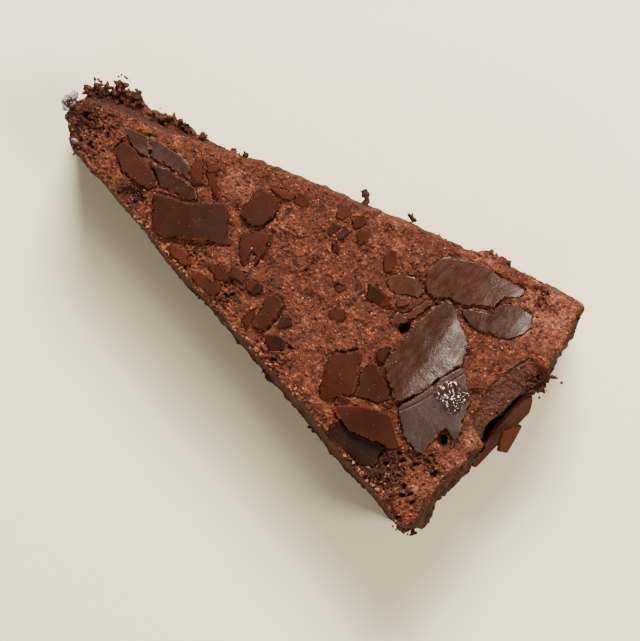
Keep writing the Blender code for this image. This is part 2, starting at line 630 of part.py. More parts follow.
def main():
    clear_scene()
    rng = random.Random(SEED)
    slice_of_cake = collection("chocolate_cake_slice")
    cutters = collection("cutters")
    toppings = collection("toppings")
    crumb = material("crumb", CRUMB_COLOUR, 0.85)
    crust = material("crust", SHARD_COLOUR, 0.45)

    cake = roughen(add_wedge(slice_of_cake, crumb))
    ground = BVHTree.FromObject(cake, bpy.context.evaluated_depsgraph_get())
    for index, flake in enumerate(FLAKES):
        add_flake(index, flake, ground, toppings, rng)
    for row in range(len(CRUMB_ROWS)):
        add_crumb_row(row, ground, toppings, rng)
    for index, (x, y, z, radius) in enumerate(LUMPS):
        add_crumb(f"lump_{index}", Vector((x, y, z)) * MM, radius * MM, toppings, rng)

    for name, shape in SHARDS.items():
        add_shard(name, shape, slice_of_cake, cutters, crust, rng)
    add_side_crust(slice_of_cake, crust, rng)
    for index, (middle, halves) in enumerate(PITS):
        add_pit(index, middle, halves, cutters)
    add_slump_cutter(cutters)
    add_recess(cutters)
    add_box("below_base", -BELOW_BLOCK, Vector((BELOW_BLOCK.x, BELOW_BLOCK.y, 0.0)), cutters)

    join_by_union(cake, toppings)
    cut_by(cake, cutters)
    drop_scraps(cake)
    stand_on_origin(slice_of_cake)
    cake.data.shade_smooth()
    cake.data.set_sharp_from_angle(angle=math.radians(40))


main()
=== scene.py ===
"""A slice of dense chocolate cake: porous crumb under broken plates of crust."""

import math
import random

import bmesh
import bpy
import numpy as np
from mathutils import Matrix, Vector, noise
from mathutils.bvhtree import BVHTree


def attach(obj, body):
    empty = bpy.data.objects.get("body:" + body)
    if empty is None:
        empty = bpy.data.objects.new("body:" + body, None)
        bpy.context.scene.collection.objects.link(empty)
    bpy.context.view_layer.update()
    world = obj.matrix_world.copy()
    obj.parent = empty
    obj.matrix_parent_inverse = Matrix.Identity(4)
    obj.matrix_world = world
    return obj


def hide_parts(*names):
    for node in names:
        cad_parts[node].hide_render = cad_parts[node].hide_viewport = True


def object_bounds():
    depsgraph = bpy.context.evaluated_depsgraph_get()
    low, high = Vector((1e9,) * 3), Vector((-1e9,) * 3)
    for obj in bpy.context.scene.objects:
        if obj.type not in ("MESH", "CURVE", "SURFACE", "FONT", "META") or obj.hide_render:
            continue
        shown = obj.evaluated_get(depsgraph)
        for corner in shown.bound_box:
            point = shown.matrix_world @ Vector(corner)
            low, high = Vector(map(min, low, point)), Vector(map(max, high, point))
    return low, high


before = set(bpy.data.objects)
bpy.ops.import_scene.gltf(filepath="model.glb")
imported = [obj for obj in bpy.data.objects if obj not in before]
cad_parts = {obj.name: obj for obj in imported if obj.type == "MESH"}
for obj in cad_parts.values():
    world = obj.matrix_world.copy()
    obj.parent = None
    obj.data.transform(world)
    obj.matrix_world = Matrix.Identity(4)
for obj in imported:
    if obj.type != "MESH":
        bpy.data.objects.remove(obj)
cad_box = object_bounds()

MM = 0.001
SEED = 11

# The readings below are millimetres in the slice's own frame, which is off the footprint's middle by this
SHIFT = Vector((-0.62, 0.14))
TOP = 32.0  # level of the crumb's top, in millimetres

# Crumb surface, and the plates of crust on it
CRUMB_VOXEL = 0.7 * MM
TOP_CUTS = 2
FACING_UP = 0.35
TOP_FROM = 0.02  # a point counts as the top's from this share
CLEAR_OF_SHARD = 0.12 * MM
SHARD_VOXEL = 0.2 * MM
FLAKE_VOXEL = 0.2 * MM
PLATE_GROWS = 0.10 * MM
SLOT = 0.7 * MM  # how far crumb closes in on a plate, and how far below the plate's face it stays
BESIDE_PLATE = 0.8 * MM
FILLED_TO = 31.8 * MM
CRACK_REACH = 0.95 * MM  # cracks run where two plates lie within this of each other
CRACK_DEPTH = 0.55 * MM
FLAT_BELOW = 0.6 * MM  # the foot stays flat up to this height

# Thin pieces of crust too small to be nodes, as outlines in millimetres
FLAKES = [
    [(-31.1, 8.3), (-29.8, 9.1), (-29.1, 8.8), (-26.8, 4.9), (-27.3, 4.1), (-28.9, 3.9), (-29.8, 4.7)],
    [(-29.0, 9.1), (-26.2, 9.7), (-25.7, 8.8), (-27.1, 7.6)],
    [(-26.9, 7.2), (-26.3, 8.0), (-24.8, 7.7), (-22.1, 4.4), (-22.9, 3.8), (-23.7, 4.0), (-25.1, 5.2)],
    [(-14.7, 12.6), (-12.9, 13.4), (-10.1, 14.2), (-8.7, 14.1), (-8.7, 12.8), (-10.7, 12.2), (-12.9, 12.3)],
    [(-8.4, 15.4), (-7.0, 15.6), (-4.8, 15.0), (-4.9, 13.8), (-6.2, 12.9), (-7.3, 12.6), (-8.2, 13.2)],
    [(-11.2, -6.4), (-10.1, -5.9), (-7.4, -5.9), (-6.8, -6.6), (-6.9, -8.4), (-10.1, -8.3)],
    [(-6.5, -7.6), (-5.9, -6.4), (-4.3, -6.0), (-2.6, -6.4), (-2.2, -7.6), (-3.2, -8.8), (-5.1, -8.9)],
    [(-15.5, -8.9), (-14.0, -7.8), (-11.8, -7.5), (-10.1, -8.6), (-9.9, -9.8), (-11.8, -10.6),
     (-14.0, -10.1)],
    [(-16.8, -12.6), (-15.7, -11.4), (-13.0, -11.7), (-10.4, -11.0), (-9.8, -13.1), (-10.7, -14.4),
     (-14.6, -14.2), (-16.8, -13.4)],
    [(-24.6, -10.3), (-22.9, -9.6), (-20.6, -9.9), (-18.4, -11.2), (-20.1, -12.4), (-22.9, -12.3),
     (-24.6, -11.2)],
    [(-2.6, -13.3), (-1.8, -11.2), (-1.2, -10.4), (-0.8, -12.6), (-0.5, -14.9), (-1.0, -15.6), (-2.3, -15.0)],
    [(4.3, -8.8), (5.5, -7.9), (7.2, -9.0), (6.7, -10.7), (5.5, -11.7), (4.5, -11.2)],
    [(4.1, -14.0), (5.5, -13.1), (7.2, -12.9), (8.9, -14.0), (8.9, -15.2), (7.2, -16.4), (5.0, -16.2)],
    [(12.5, -1.9), (13.4, -0.4), (15.6, 0.1), (16.2, -1.4), (14.8, -3.1), (12.6, -2.9)],
    [(26.1, -2.3), (27.6, -0.9), (28.3, -1.5), (28.3, -4.4), (27.4, -4.9), (26.4, -4.2)],
    [(0.9, 17.7), (1.7, 19.1), (3.1, 19.1), (3.7, 18.2), (3.1, 15.8), (1.7, 15.5)],
    [(4.3, 17.2), (5.5, 19.1), (6.7, 19.4), (7.8, 18.6), (7.6, 17.0), (6.5, 15.8)],
    [(7.5, 15.8), (8.9, 17.5), (10.0, 16.5), (10.3, 14.9), (8.9, 13.7), (8.0, 14.4)],
    [(1.4, 12.2), (2.0, 14.4), (3.4, 14.7), (3.8, 13.0), (3.1, 11.5), (2.0, 11.5)],
    [(4.3, 15.4), (6.1, 14.6), (5.6, 12.5), (4.5, 12.0)],
    [(4.1, 11.0), (6.2, 11.0), (6.2, 9.6), (5.0, 8.9)],
    [(15.0, 16.4), (16.7, 17.2), (17.9, 15.3), (18.1, 13.2), (17.2, 11.8), (15.7, 13.4)],
    [(15.9, 7.7), (17.4, 8.2), (21.5, 8.1), (22.7, 6.7), (21.2, 5.2), (17.4, 5.2)],
    [(22.9, 8.4), (24.4, 9.5), (25.6, 9.5), (25.2, 8.2), (23.6, 7.2)],
    [(24.5, -15.9), (27.2, -15.7), (28.2, -16.4), (26.4, -17.4), (25.0, -17.2)],
    [(33.6, -12.1), (35.6, -10.5), (36.0, -11.2), (35.0, -12.2)],
    [(-55.8, 1.0), (-54.6, 2.2), (-53.0, 1.6), (-53.6, 0.2)],
    [(20.6, 17.0), (21.8, 17.9), (22.9, 17.1), (22.2, 16.0)],
    [(9.9, 3.4), (11.0, 4.4), (12.3, 3.8), (11.8, 2.4), (10.6, 2.2)],
]
FLAKE_LIFT = 0.18 * MM
FLAKE_THICKNESS = 0.9 * MM
FLAKE_JITTER = 0.12 * MM
FLAKE_TONE = 0.42
FLAKE_RIM = 0.3

# How light each plate of crust is, from 0 to 1; the dark underlayer's 0 is partly painted shade from the
# plate over it, and the side splinter's 1 partly painted light
SHARD_TONES = {
    "tip_long": 0.85, "tip_long_end": 0.95, "tip_lower": 0.4, "tip_middle": 0.35, "broad_rectangle": 0.22,
    "square": 0.4, "trapezoid": 0.45, "edge_oval": 0.35, "left_pentagon": 0.42, "centre_fan": 0.3,
    "ribbed_oval": 0.8, "long_strip": 0.95, "upper_plate": 0.62, "corner_plate": 0.4, "main_plate": 0.45,
    "glossy_plate": 0.75, "rim_lit": 0.35, "dark_underlayer": 0.0, "side_sheet": 0.35, "side_splinter": 1.0,
}

# How far a plate's middle stands above its rim, in millimetres
DOMES = {
    "tip_long": -0.3, "tip_long_end": -0.35, "tip_middle": -0.25, "left_pentagon": 0.1, "main_plate": 0.1,
    "glossy_plate": 0.2,
}

# Where a plate bends down to the right of a line: the line's ends, and by how much, in millimetres
BENDS = {"main_plate": ((38.8, -5.0), (39.2, 9.0), 0.8)}
BEND_REACH = 4.2 * MM  # to either side of that line

# Feature size and depth of what breaks a plate's edge and of what waves its face, in millimetres
EDGE_BITES = (1.7, 0.22)
EDGE_NICKS = (0.55, 0.12)
EDGE_CHIPS = (1.3, 0.40)
FACE_SWELL = (4.5, 0.12)
FACE_RIPPLE = (1.6, 0.025)
EDGE_REACH = 0.7 * MM  # how far in from its rim a plate is broken
RIM_WIDTH = 0.3 * MM  # how far in the lighter brown of its rim reaches

# How much of the broken rim shows its lighter brown, which is partly painted highlight along lit edges
USUAL_RIM = 0.45
RIMS = {
    "rim_lit": 1.4, "tip_long": 0.9, "tip_long_end": 1.2, "tip_middle": 0.9, "broad_rectangle": 0.7,
    "main_plate": 0.8, "dark_underlayer": 0.7, "side_splinter": 0.7, "trapezoid": 0.3, "square": 0.3,
}


def point(x, y, z=0.0):
    """A reading in the slice's frame, in metres in the model's."""
    return Vector(((x + SHIFT.x) * MM, (y + SHIFT.y) * MM, z * MM))


def linear(*srgb):
    """A display colour of 0 to 255 as the linear colour that a shader takes."""
    made = []
    for value in srgb:
        c = value / 255
        made.append(c / 12.92 if c <= 0.04045 else ((c + 0.055) / 1.055) ** 2.4)
    return (*made, 1.0)


def smooth(low, high, value):
    t = np.clip((value - low) / (high - low), 0.0, 1.0)
    return t * t * (3 - 2 * t)


# Meshes and what is measured on them
def link(name, mesh):
    obj = bpy.data.objects.new(name, mesh)
    bpy.context.scene.collection.objects.link(obj)
    return obj


def remeshed(source, name, voxel):
    """A copy of a mesh, rebuilt in even quads."""
    obj = link(name, source.copy())
    even = obj.modifiers.new("even", "REMESH")
    even.mode = "VOXEL"
    even.voxel_size = voxel
    graph = bpy.context.evaluated_depsgraph_get()
    mesh = bpy.data.meshes.new_from_object(obj.evaluated_get(graph))
    obj.modifiers.clear()
    obj.data = mesh
    mesh.name = name
    mesh.materials.clear()
    return obj


def places_of(mesh):
    co = np.zeros(len(mesh.vertices) * 3, np.float32)
    mesh.vertices.foreach_get("co", co)
    return co.reshape(-1, 3).astype(float)


def normals_of(mesh):
    normals = np.zeros(len(mesh.vertices) * 3, np.float32)
    mesh.vertex_normals.foreach_get("vector", normals)
    return normals.reshape(-1, 3).astype(float)


def place(mesh, co):
    mesh.vertices.foreach_set("co", co.astype(np.float32).ravel())
    mesh.update()


def inside_box(co):
    """Points kept within the box of the solids."""
    low, high = (np.array(c) for c in cad_box)
    return np.clip(co, low, high)


def mark(mesh, name, values):
    """Stores one value for each point, which a material reads by name."""
    layer = mesh.attributes.get(name) or mesh.attributes.new(name, "FLOAT", "POINT")
    layer.data.foreach_set("value", np.asarray(values, np.float32))


def field(kind, co, size):
    """A noise value for each point, with features of the given size in metres."""
    made = np.empty(len(co))
    for i, p in enumerate(co / size):
        made[i] = kind(Vector(p))
    return made


def from_line(co, line):
    """Distance in plan from each point to a line through readings, in metres."""
    best = np.full(len(co), 1.0)
    ends = [np.array(point(*reading)[:2]) for reading in line]
    for a, b in zip(ends, ends[1:]):
        side = b - a
        along = np.clip((co[:, :2] - a) @ side / (side @ side), 0, 1)
        best = np.minimum(best, np.linalg.norm(co[:, :2] - a - along[:, None] * side, axis=1))
    return best


def blot(co, x, y, radius):
    """1 within a soft round patch, falling to 0 at its radius, in millimetres."""
    middle = np.array(point(x, y)[:2])
    return smooth(radius * MM, radius * 0.4 * MM, np.linalg.norm(co[:, :2] - middle, axis=1))


def blots(co, places):
    made = np.zeros(len(co))
    for x, y, radius in places:
        made = np.maximum(made, blot(co, x, y, radius))
    return made


def soft_noise(p):
    return noise.noise(p)


def rough_noise(p):
    return noise.fractal(p, 0.8, 2.1, 4)


def cells(co, size):
    """Distance to the nearest cell point, and a value of that cell from 0 to 1."""
    near = np.empty(len(co))
    value = np.empty(len(co))
    for i, p in enumerate(co / size):
        distances, points = noise.voronoi(Vector(p))
        near[i] = distances[0]
        value[i] = noise.cell(points[0] * 7.31)
    return near, value


def tree_of(objects):
    verts = []
    faces = []
    for obj in objects:
        start = len(verts)
        verts += [tuple(v.co) for v in obj.data.vertices]
        faces += [[start + i for i in f.vertices] for f in obj.data.polygons]
    return BVHTree.FromPolygons(verts, faces)


# Crust
def side_tree(mesh):
    """The upright faces round a plate."""
    verts = [tuple(v.co) for v in mesh.vertices]
    faces = [list(f.vertices) for f in mesh.polygons if abs(f.normal.z) < 0.5]
    return BVHTree.FromPolygons(verts, faces)


def waves(kind, co, size_and_depth, shift=0.0):
    """Noise with features of a size in millimetres, times a depth."""
    size, depth = size_and_depth
    return field(kind, co + shift, size * MM) * depth


def broken_edge(co):
    """How far each point of a plate's rim stands out of its clean outline, in millimetres."""
    size, depth = EDGE_CHIPS
    chips = (cells(co, size * MM)[1] - 0.5) * depth
    return waves(rough_noise, co, EDGE_BITES) + waves(rough_noise, co, EDGE_NICKS, 0.5) + chips


def waved_face(co, dome, bend):
    """How far each point of a plate's face stands above its flat level, in millimetres."""
    from_middle = np.linalg.norm(co - co.mean(0), axis=1)
    wave = waves(soft_noise, co, FACE_SWELL) + waves(soft_noise, co, FACE_RIPPLE)
    wave += dome * (1 - (from_middle / from_middle.max()) ** 2)
    if bend:
        start, end, drop_by = bend
        a, b = (np.array(point(*p)[:2]) for p in (start, end))
        across = np.array([b[1] - a[1], a[0] - b[0]]) / np.linalg.norm(b - a)
        wave -= drop_by * smooth(-BEND_REACH, BEND_REACH, (co[:, :2] - a) @ across)
    return wave


def finish_plate(obj, sides, tone, dome, rim=USUAL_RIM, flat_axis=2, bend=None):
    """Breaks a plate's edges, waves its face, and marks its broken rim, whose lighter brown is partly painted
    highlight, and its tone.
    """
    mesh = obj.data
    co = places_of(mesh)
    normals = normals_of(mesh)
    away = np.array([sides.find_nearest(Vector(p))[3] for p in co])
    outward = normals.copy()
    outward[:, flat_axis] = 0.0
    at_rim = smooth(EDGE_REACH, 0.05 * MM, away)
    moved = co + outward * ((broken_edge(co) * MM + PLATE_GROWS) * at_rim)[:, None]
    upper = smooth(-0.2, 0.3, normals[:, flat_axis])
    moved[:, flat_axis] += waved_face(co, dome, bend) * MM * upper
    place(mesh, inside_box(moved))
    patchy = smooth(-0.25, 0.35, field(soft_noise, co, 3.2 * MM))
    mark(mesh, "rim", smooth(RIM_WIDTH, 0.04 * MM, away) * (0.3 + 0.7 * patchy) * rim)
    mark(mesh, "tone", np.full(len(co), tone) + waves(soft_noise, co, (5.0, 0.12)))
    mark(mesh, "wet", np.zeros(len(co)))
    mesh.shade_smooth()
    mesh.set_sharp_from_angle(angle=math.radians(42))


def wet_blobs(obj):
    """The glazed blobs on the glossiest plate, and the strip that stands up along its crack."""
    mesh = obj.data
    co = places_of(mesh)
    upper = smooth(0.2, 0.6, normals_of(mesh)[:, 2])
    patch = np.clip(blots(co, WET_PATCH) * 1.3 + field(soft_noise, co, 1.6 * MM) * 0.5, 0, 1)
    patch *= smooth(0.1, 0.3, blots(co, WET_PATCH))
    blob = smooth(-0.3, 0.5, field(soft_noise, co, 1.2 * MM)) * patch
    strip = smooth(STRIP_HALF, STRIP_HALF - 0.3 * MM, from_line(co, STRIP_LINE))
    crease = smooth(0.22 * MM, 0.05 * MM, np.abs(from_line(co, STRIP_LINE) - STRIP_HALF))
    co[:, 2] += upper * (blob * BLOB_RISE + strip * STRIP_RISE - crease * CREASE_DROP) * MM
    place(mesh, inside_box(co))
    mark(mesh, "wet", smooth(0.15, 0.5, patch))
    # Darker between the blobs and in the creases beside the strip: painted shade; the creases' lighter rim is
    # partly painted highlight.
    between_blobs = patch * smooth(0.25, 0.1, blob)
    mark(mesh, "tone", 0.6 + strip * 0.25 - crease * 0.6 + patch * 0.2 - between_blobs * 0.2)
    rim = np.zeros(len(co), np.float32)
    mesh.attributes["rim"].data.foreach_get("value", rim)
    mark(mesh, "rim", np.maximum(rim, crease * 0.8))


def add_plates():
    """Every plate of crust from its CAD node, rebuilt fine enough to break its edges."""
    plates = []
    for name, tone in SHARD_TONES.items():
        node = "shard_" + name
        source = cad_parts[node].data
        plate = remeshed(source, "plate_" + name, SHARD_VOXEL)
        flat_axis = 0 if name.startswith("side") else 2
        finish_plate(plate, side_tree(source), tone, DOMES.get(name, 0.0), RIMS.get(name, USUAL_RIM),
                     flat_axis, BENDS.get(name))
        if name == "glossy_plate":
            wet_blobs(plate)
        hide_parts(node)
        plates.append(plate)
    return plates


def level_under(ground, middle, points):
    """The middle level of the crumb under a flake's middle and near its corners."""
    levels = []
    for p in [middle] + [middle.lerp(q, 0.7) for q in points]:
        hit = ground.ray_cast(Vector((p.x, p.y, 0.1)), Vector((0, 0, -1)))[0]
        levels.append(hit.z if hit else TOP * MM)
    return sorted(levels)[len(levels) // 2]


def add_flake(bm, outline, ground, rng):
    """One flake, a little tilted, with each side of its outline bent at its middle."""
    points = [point(*p) for p in outline]
    middle = sum(points, Vector()) / len(points)
    top = level_under(ground, middle, points) + FLAKE_LIFT
    tilt = Vector((rng.uniform(-0.1, 0.1), rng.uniform(-0.1, 0.1), 0))
    ring = []
    for p, q in zip(points, points[1:] + points[:1]):
        for t in (0.0, 0.5):
            at = p.lerp(q, t)
            at += Vector((rng.uniform(-1, 1), rng.uniform(-1, 1), 0)) * FLAKE_JITTER
            at.z = top + (at - middle).dot(tilt)
            ring.append(bm.verts.new(at))
    face = bm.faces.new(ring)
    face.normal_update()
    if face.normal.z < 0:
        face.normal_flip()
    lowered = bmesh.ops.extrude_face_region(bm, geom=[face])["geom"]
    bmesh.ops.translate(bm, verts=[v for v in lowered if isinstance(v, bmesh.types.BMVert)],
                        vec=(0, 0, -FLAKE_THICKNESS))


def add_flakes(ground):
    """All small flakes in one mesh, each lying on the crumb under it."""
    rng = random.Random(SEED)
    bm = bmesh.new()
    for outline in FLAKES:
        add_flake(bm, outline, ground, rng)
    bmesh.ops.recalc_face_normals(bm, faces=bm.faces[:])
    bmesh.ops.triangulate(bm, faces=bm.faces[:])
    raw = bpy.data.meshes.new("flakes")
    bm.to_mesh(raw)
    bm.free()
    flakes = remeshed(raw, "small_flakes", FLAKE_VOXEL)
    finish_plate(flakes, side_tree(raw), FLAKE_TONE, 0.0, FLAKE_RIM)
    mark(flakes.data, "tone", FLAKE_TONE + waves(noise.cell, places_of(flakes.data), (5.0, 0.4)))
    return flakes


# Crumb
def closed_crumb(node):
    """The cake's CAD mesh, with the slots round the plates closed up to a little below the plates' faces."""
    bm = bmesh.new()
    bm.from_mesh(node.data)
    for name in SHARD_TONES:
        if name.startswith("side"):
            continue
        filler = bmesh.new()
        filler.from_mesh(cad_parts["shard_" + name].data)
        filler.normal_update()
        for vertex in filler.verts:
            outward = Vector((vertex.normal.x, vertex.normal.y, 0.0))
            if outward.length > 0.3:
                vertex.co += outward.normalized() * SLOT
            lowered = vertex.co.z - BESIDE_PLATE
            vertex.co.z = lowered - SLOT if vertex.normal.z < 0 else min(lowered, FILLED_TO)
        made = bpy.data.meshes.new("filler")
        filler.to_mesh(made)
        filler.free()
        bm.from_mesh(made)
    mesh = bpy.data.meshes.new("closed")
    bm.to_mesh(mesh)
    bm.free()
    return mesh


def refine_top(obj):
    """Finer faces on the top and the torn ledge, and few on the flat foot."""
    bm = bmesh.new()
    bm.from_mesh(obj.data)
    bm.normal_update()
    edges = set()
    for face in bm.faces:
        middle = face.calc_center_median()
        on_ledge = middle.x < -26 * MM and face.normal.y > 0 and middle.z > 15 * MM
        if middle.z > 4 * MM and face.normal.z > (-0.1 if on_ledge else FACING_UP):
            edges.update(face.edges)
    bmesh.ops.subdivide_edges(bm, edges=list(edges), cuts=TOP_CUTS, use_grid_fill=True)
    under = [e for e in bm.edges if all(f.normal.z < -0.99 for f in e.link_faces)]
    bmesh.ops.dissolve_edges(bm, edges=under, use_verts=True)
    bmesh.ops.triangulate(bm, faces=[f for f in bm.faces if len(f.verts) > 4])
    bm.to_mesh(obj.data)
    bm.free()


def between_plates(co, wanted, plates):
    """How far each wanted point lies in a crack: 1 where a second plate is as near as the first."""
    trees = [tree_of([plate]) for plate in plates]
    made = np.zeros(len(co))
    for i in wanted:
        p = Vector(co[i])
        found = sorted(d for d in (t.find_nearest(p, CRACK_REACH)[3] for t in trees) if d is not None)
        if len(found) > 1:
            made[i] = found[1]
    return np.where(made > 0, smooth(CRACK_REACH, 0.5 * CRACK_REACH, made), 0.0)


def crumb_regions(co, normals):
    """How far each point belongs to the top, the ledge, the knife-cut and the torn sides, and the slump."""
    x, y = co[:, 0] / MM - SHIFT.x, co[:, 1] / MM - SHIFT.y
    z = co[:, 2] / MM
    up = smooth(0.15, 0.6, normals[:, 2])
    on_top = up * smooth(25, 29, z)
    wander = waves(soft_noise, co, (7, 5))
    ledge = smooth(-22, -34, x + wander) * (y > 0) * smooth(12, 19, z + wander) * (1 - on_top)
    cut = smooth(0.6, 0.8, np.abs(normals[:, 1])) * (1 - up) * (1 - ledge)
    torn = np.clip(1 - on_top - cut, 0, 1)
    slab = blots(co, SLUMP) * on_top * smooth(50.8, 52.4, x)
    return on_top, ledge, cut, torn, slab


def crumb_shade(co, normals, on_top, ledge, slab):
    """How dark the crumb is at each point: 1 at its darkest, below 0 where it is paler."""
    x, z = co[:, 0] / MM - SHIFT.x, co[:, 2] / MM
    outer = smooth(0.3, 0.7, normals[:, 0]) * (x > 40) * (1 - slab)
    edge = smooth(1.6 * MM, 0.4 * MM, from_line(co, LOWER_EDGE)) * on_top
    # Painted shade at the foot of the top's torn edge, above the ledge
    beside = smooth(2.2 * MM, 0.8 * MM, from_line(co, LEDGE_LINE)) * (1 - ledge) * smooth(18, 22, z)
    # The darker patches and the ledge are partly painted shade and partly darker crumb; the outer side is
    # darker too
    shade = blots(co, DARKER) * 0.8 * on_top + (ledge + beside) * 0.9 + outer * 0.7
    shade -= np.maximum(blots(co, LIGHTER) * on_top, edge) * 0.8
    return shade + waves(soft_noise, co, (14, 0.25))


def crumb_noise(co, coarse):
    """Grains, swell, lumps and pores at each point, and the sideways push that bends the pores."""
    tangle = bent(co, 0.6, 0.45, (0.3, 0.4, 0.5))
    near = cells(co + tangle, GRAIN_SIZE)[0]
    web = 1 - 2 * np.abs(field(soft_noise, co + tangle, WEB_SIZE))
    fine = field(soft_noise, co + 0.2, FINE_SIZE)
    grains = (0.42 - near) * 0.32 + (web - 0.62) * 0.36 + fine * 0.28
    swell = field(rough_noise, co, SWELL_SIZE)
    lumps = field(rough_noise, co + 0.3, LUMP_SIZE)
    warp = bent(co, 0.9, 0.7, (0.0, 0.1, 0.2))
    pore_near, pore_value = cells(co + 0.01 + warp, PORE_SPACING)
    pore_size = 0.10 + 0.16 * pore_value + 0.22 * coarse
    pores = smooth(1.0, 0.4, pore_near / pore_size) * (pore_value > 0.62 - 0.4 * coarse)
    return grains, swell, lumps, pores, warp


def bent(co, size, depth, shifts):
    """A sideways push for each point, so that the cells and lines laid on it wander, in metres."""
    return np.stack([field(soft_noise, co + k, size * MM) for k in shifts], axis=1) * depth * MM


def crack_depth(co, moved, on_top, warp, plates, covers):
    """How deep the cracks between plates and the creases of the slump are at each point, as a share, which
    also darkens them with painted shade.
    """
    crease = np.zeros(len(co))
    for line in CREASES:
        crease = np.maximum(crease, smooth(0.45 * MM, 0.1 * MM, from_line(co + warp * 0.5, line)))
    for line in GAPS:
        crease = np.maximum(crease, 1.25 * smooth(0.55 * MM, 0.25 * MM, from_line(co + warp * 0.4, line)))
    away = np.array([covers.find_nearest(Vector(p), 2 * MM)[3] or 2 * MM for p in moved])
    close = np.nonzero((on_top > TOP_FROM) & (away < CRACK_REACH))[0]
    return np.maximum(between_plates(moved, close, plates), crease * 0.8) * on_top


def keep_below(moved, wanted, covers):
    """Lowers the wanted points that would show through a plate or a flake."""
    for i in wanted:
        p = moved[i]
        hit = covers.ray_cast(Vector((p[0], p[1], 0.0)), Vector((0, 0, 1)))[0]
        if hit and p[2] > hit.z - CLEAR_OF_SHARD:
            moved[i, 2] = hit.z - CLEAR_OF_SHARD


def add_crumb(plates, covers):
    """The cake's own surface: porous on top, smooth where the knife cut it, torn on its other sides."""
    crumb = remeshed(closed_crumb(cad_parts["cake"]), "crumb_body", CRUMB_VOXEL)
    refine_top(crumb)
    mesh = crumb.data
    co = places_of(mesh)
    normals = normals_of(mesh)
    on_top, ledge, cut, torn, slab = crumb_regions(co, normals)
    coarse = np.clip(blots(co, COARSE) + smooth(-44, -54, co[:, 0] / MM - SHIFT.x), 0, 1)

    grains, swell, lumps, pores, warp = crumb_noise(co, coarse)
    grain_depth, swell_depth, lump_depth, pore_depth = (plain + more * coarse for plain, more in TOP_DEPTHS)
    relief = grains * grain_depth * (1 - 0.5 * slab) + swell * swell_depth + lumps * lump_depth
    relief = on_top * (relief - pores * pore_depth)
    for share, (grain_depth, swell_depth, pore_depth) in ((torn, TORN_DEPTHS), (cut, CUT_DEPTHS)):
        relief += share * (grains * grain_depth + swell * swell_depth - pores * pore_depth)
    relief[co[:, 2] < FLAT_BELOW] = 0.0
    direction = normals * (1 - on_top)[:, None]
    direction[:, 2] += on_top
    moved = co + direction * (relief * MM)[:, None]
    crack = crack_depth(co, moved, on_top, warp, plates, covers)
    moved[:, 2] -= crack * CRACK_DEPTH
    keep_below(moved, np.nonzero(on_top > TOP_FROM)[0], covers)
    place(mesh, inside_box(moved))

    # The relief also lightens raised crumb and darkens its gaps in the material: partly painted highlight and
    # painted shade.
    mark(mesh, "height", np.clip(0.5 + grains * 0.8 + lumps * 0.35, 0, 1))
    # Painted shade in the pores and in the cracks, creases and gaps.
    mark(mesh, "pit_shade", np.clip(np.maximum(pores, crack * 0.65), 0, 1))
    mark(mesh, "top", on_top)
    mark(mesh, "porous", np.clip(coarse + torn * 0.8, 0, 1))
    mark(mesh, "cut", cut)
    mark(mesh, "slab", slab)
    mark(mesh, "shade", crumb_shade(co, normals, on_top, ledge, slab))
    mesh.shade_smooth()
    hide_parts("cake")
    return crumb


# Sizes of what the crumb's noise makes
GRAIN_SIZE = 1.05 * MM
WEB_SIZE = 0.7 * MM
FINE_SIZE = 0.42 * MM
SWELL_SIZE = 5 * MM
LUMP_SIZE = 2.2 * MM
PORE_SPACING = 1.7 * MM

# How deep grains, swell, lumps and pores are on the top, and how much more where it is coarse, in millimetres
TOP_DEPTHS = ((0.75, 1.1), (0.10, 0.45), (0.14, 0.3), (0.6, 0.9))
# How deep grains, swell and pores are on the torn and on the cut sides, in millimetres
TORN_DEPTHS = (0.9, 0.4, 0.5)
CUT_DEPTHS = (0.28, 0.10, 0.35)

# The glazed blobs, and how far they, the strip and its creases rise or fall, in millimetres
WET_PATCH = [(44.6, -1.4, 3.4), (46.4, -3.2, 2.4), (42.9, -2.6, 2.2), (46.9, -0.4, 2.2)]
BLOB_RISE = 0.5
STRIP_RISE = 0.16
CREASE_DROP = 0.25

# Readings for the plates and the crumb: a place and a radius, or a line
STRIP_HALF = 1.5 * MM
STRIP_LINE = [(36.6, -9.8), (38.6, -6.3), (40.2, -2.6), (41.6, 1.3), (42.9, 4.4)]
# Creases of the slump, dug in and darkened with painted shade
CREASES = [
    [(54.2, 14.6), (52.5, 10.6), (51.1, 6.2), (50.6, 1.4)],
    [(50.5, -6.8), (51.6, -4.0), (50.7, -1.5)],
    [(59.0, -2.0), (58.6, 2.0), (59.4, 5.4), (60.4, 8.0)],
]
SLUMP = [(54.5, 10, 5), (54.5, 6.5, 5.5), (54, 2, 5), (54.5, -2, 4)]
COARSE = [(58, 11, 4), (44, -23, 9), (49, -27, 6), (38, -27, 4), (49.5, 27.0, 3), (-38, -6.5, 4),
          (50, -17, 5), (-20, -9, 5), (-9, -12, 5), (8, -17, 6)]
# Patches where the top is darker: partly painted shade, round and under the dark underlayer plate and in
# sunken hollows and pits, and partly darker crumb
DARKER = [(58.5, 11, 3), (40, -5, 3), (41, -24, 7), (40, -29.5, 4), (-38.5, -6, 5), (-57, 2, 5),
          (49.5, 26.5, 2.5), (-30, -6.5, 3)]
LOWER_EDGE = [(-55.4, -5.5), (-35.0, -9.8), (-25.0, -12.7), (-12.0, -15.4), (12.0, -20.5), (36.0, -26.8),
              (46.0, -29.2)]
# The top's edge over the ledge, beside which shade is painted
LEDGE_LINE = [(-58.0, 8.2), (-50.0, 9.7), (-40.0, 12.2), (-32.0, 14.2)]
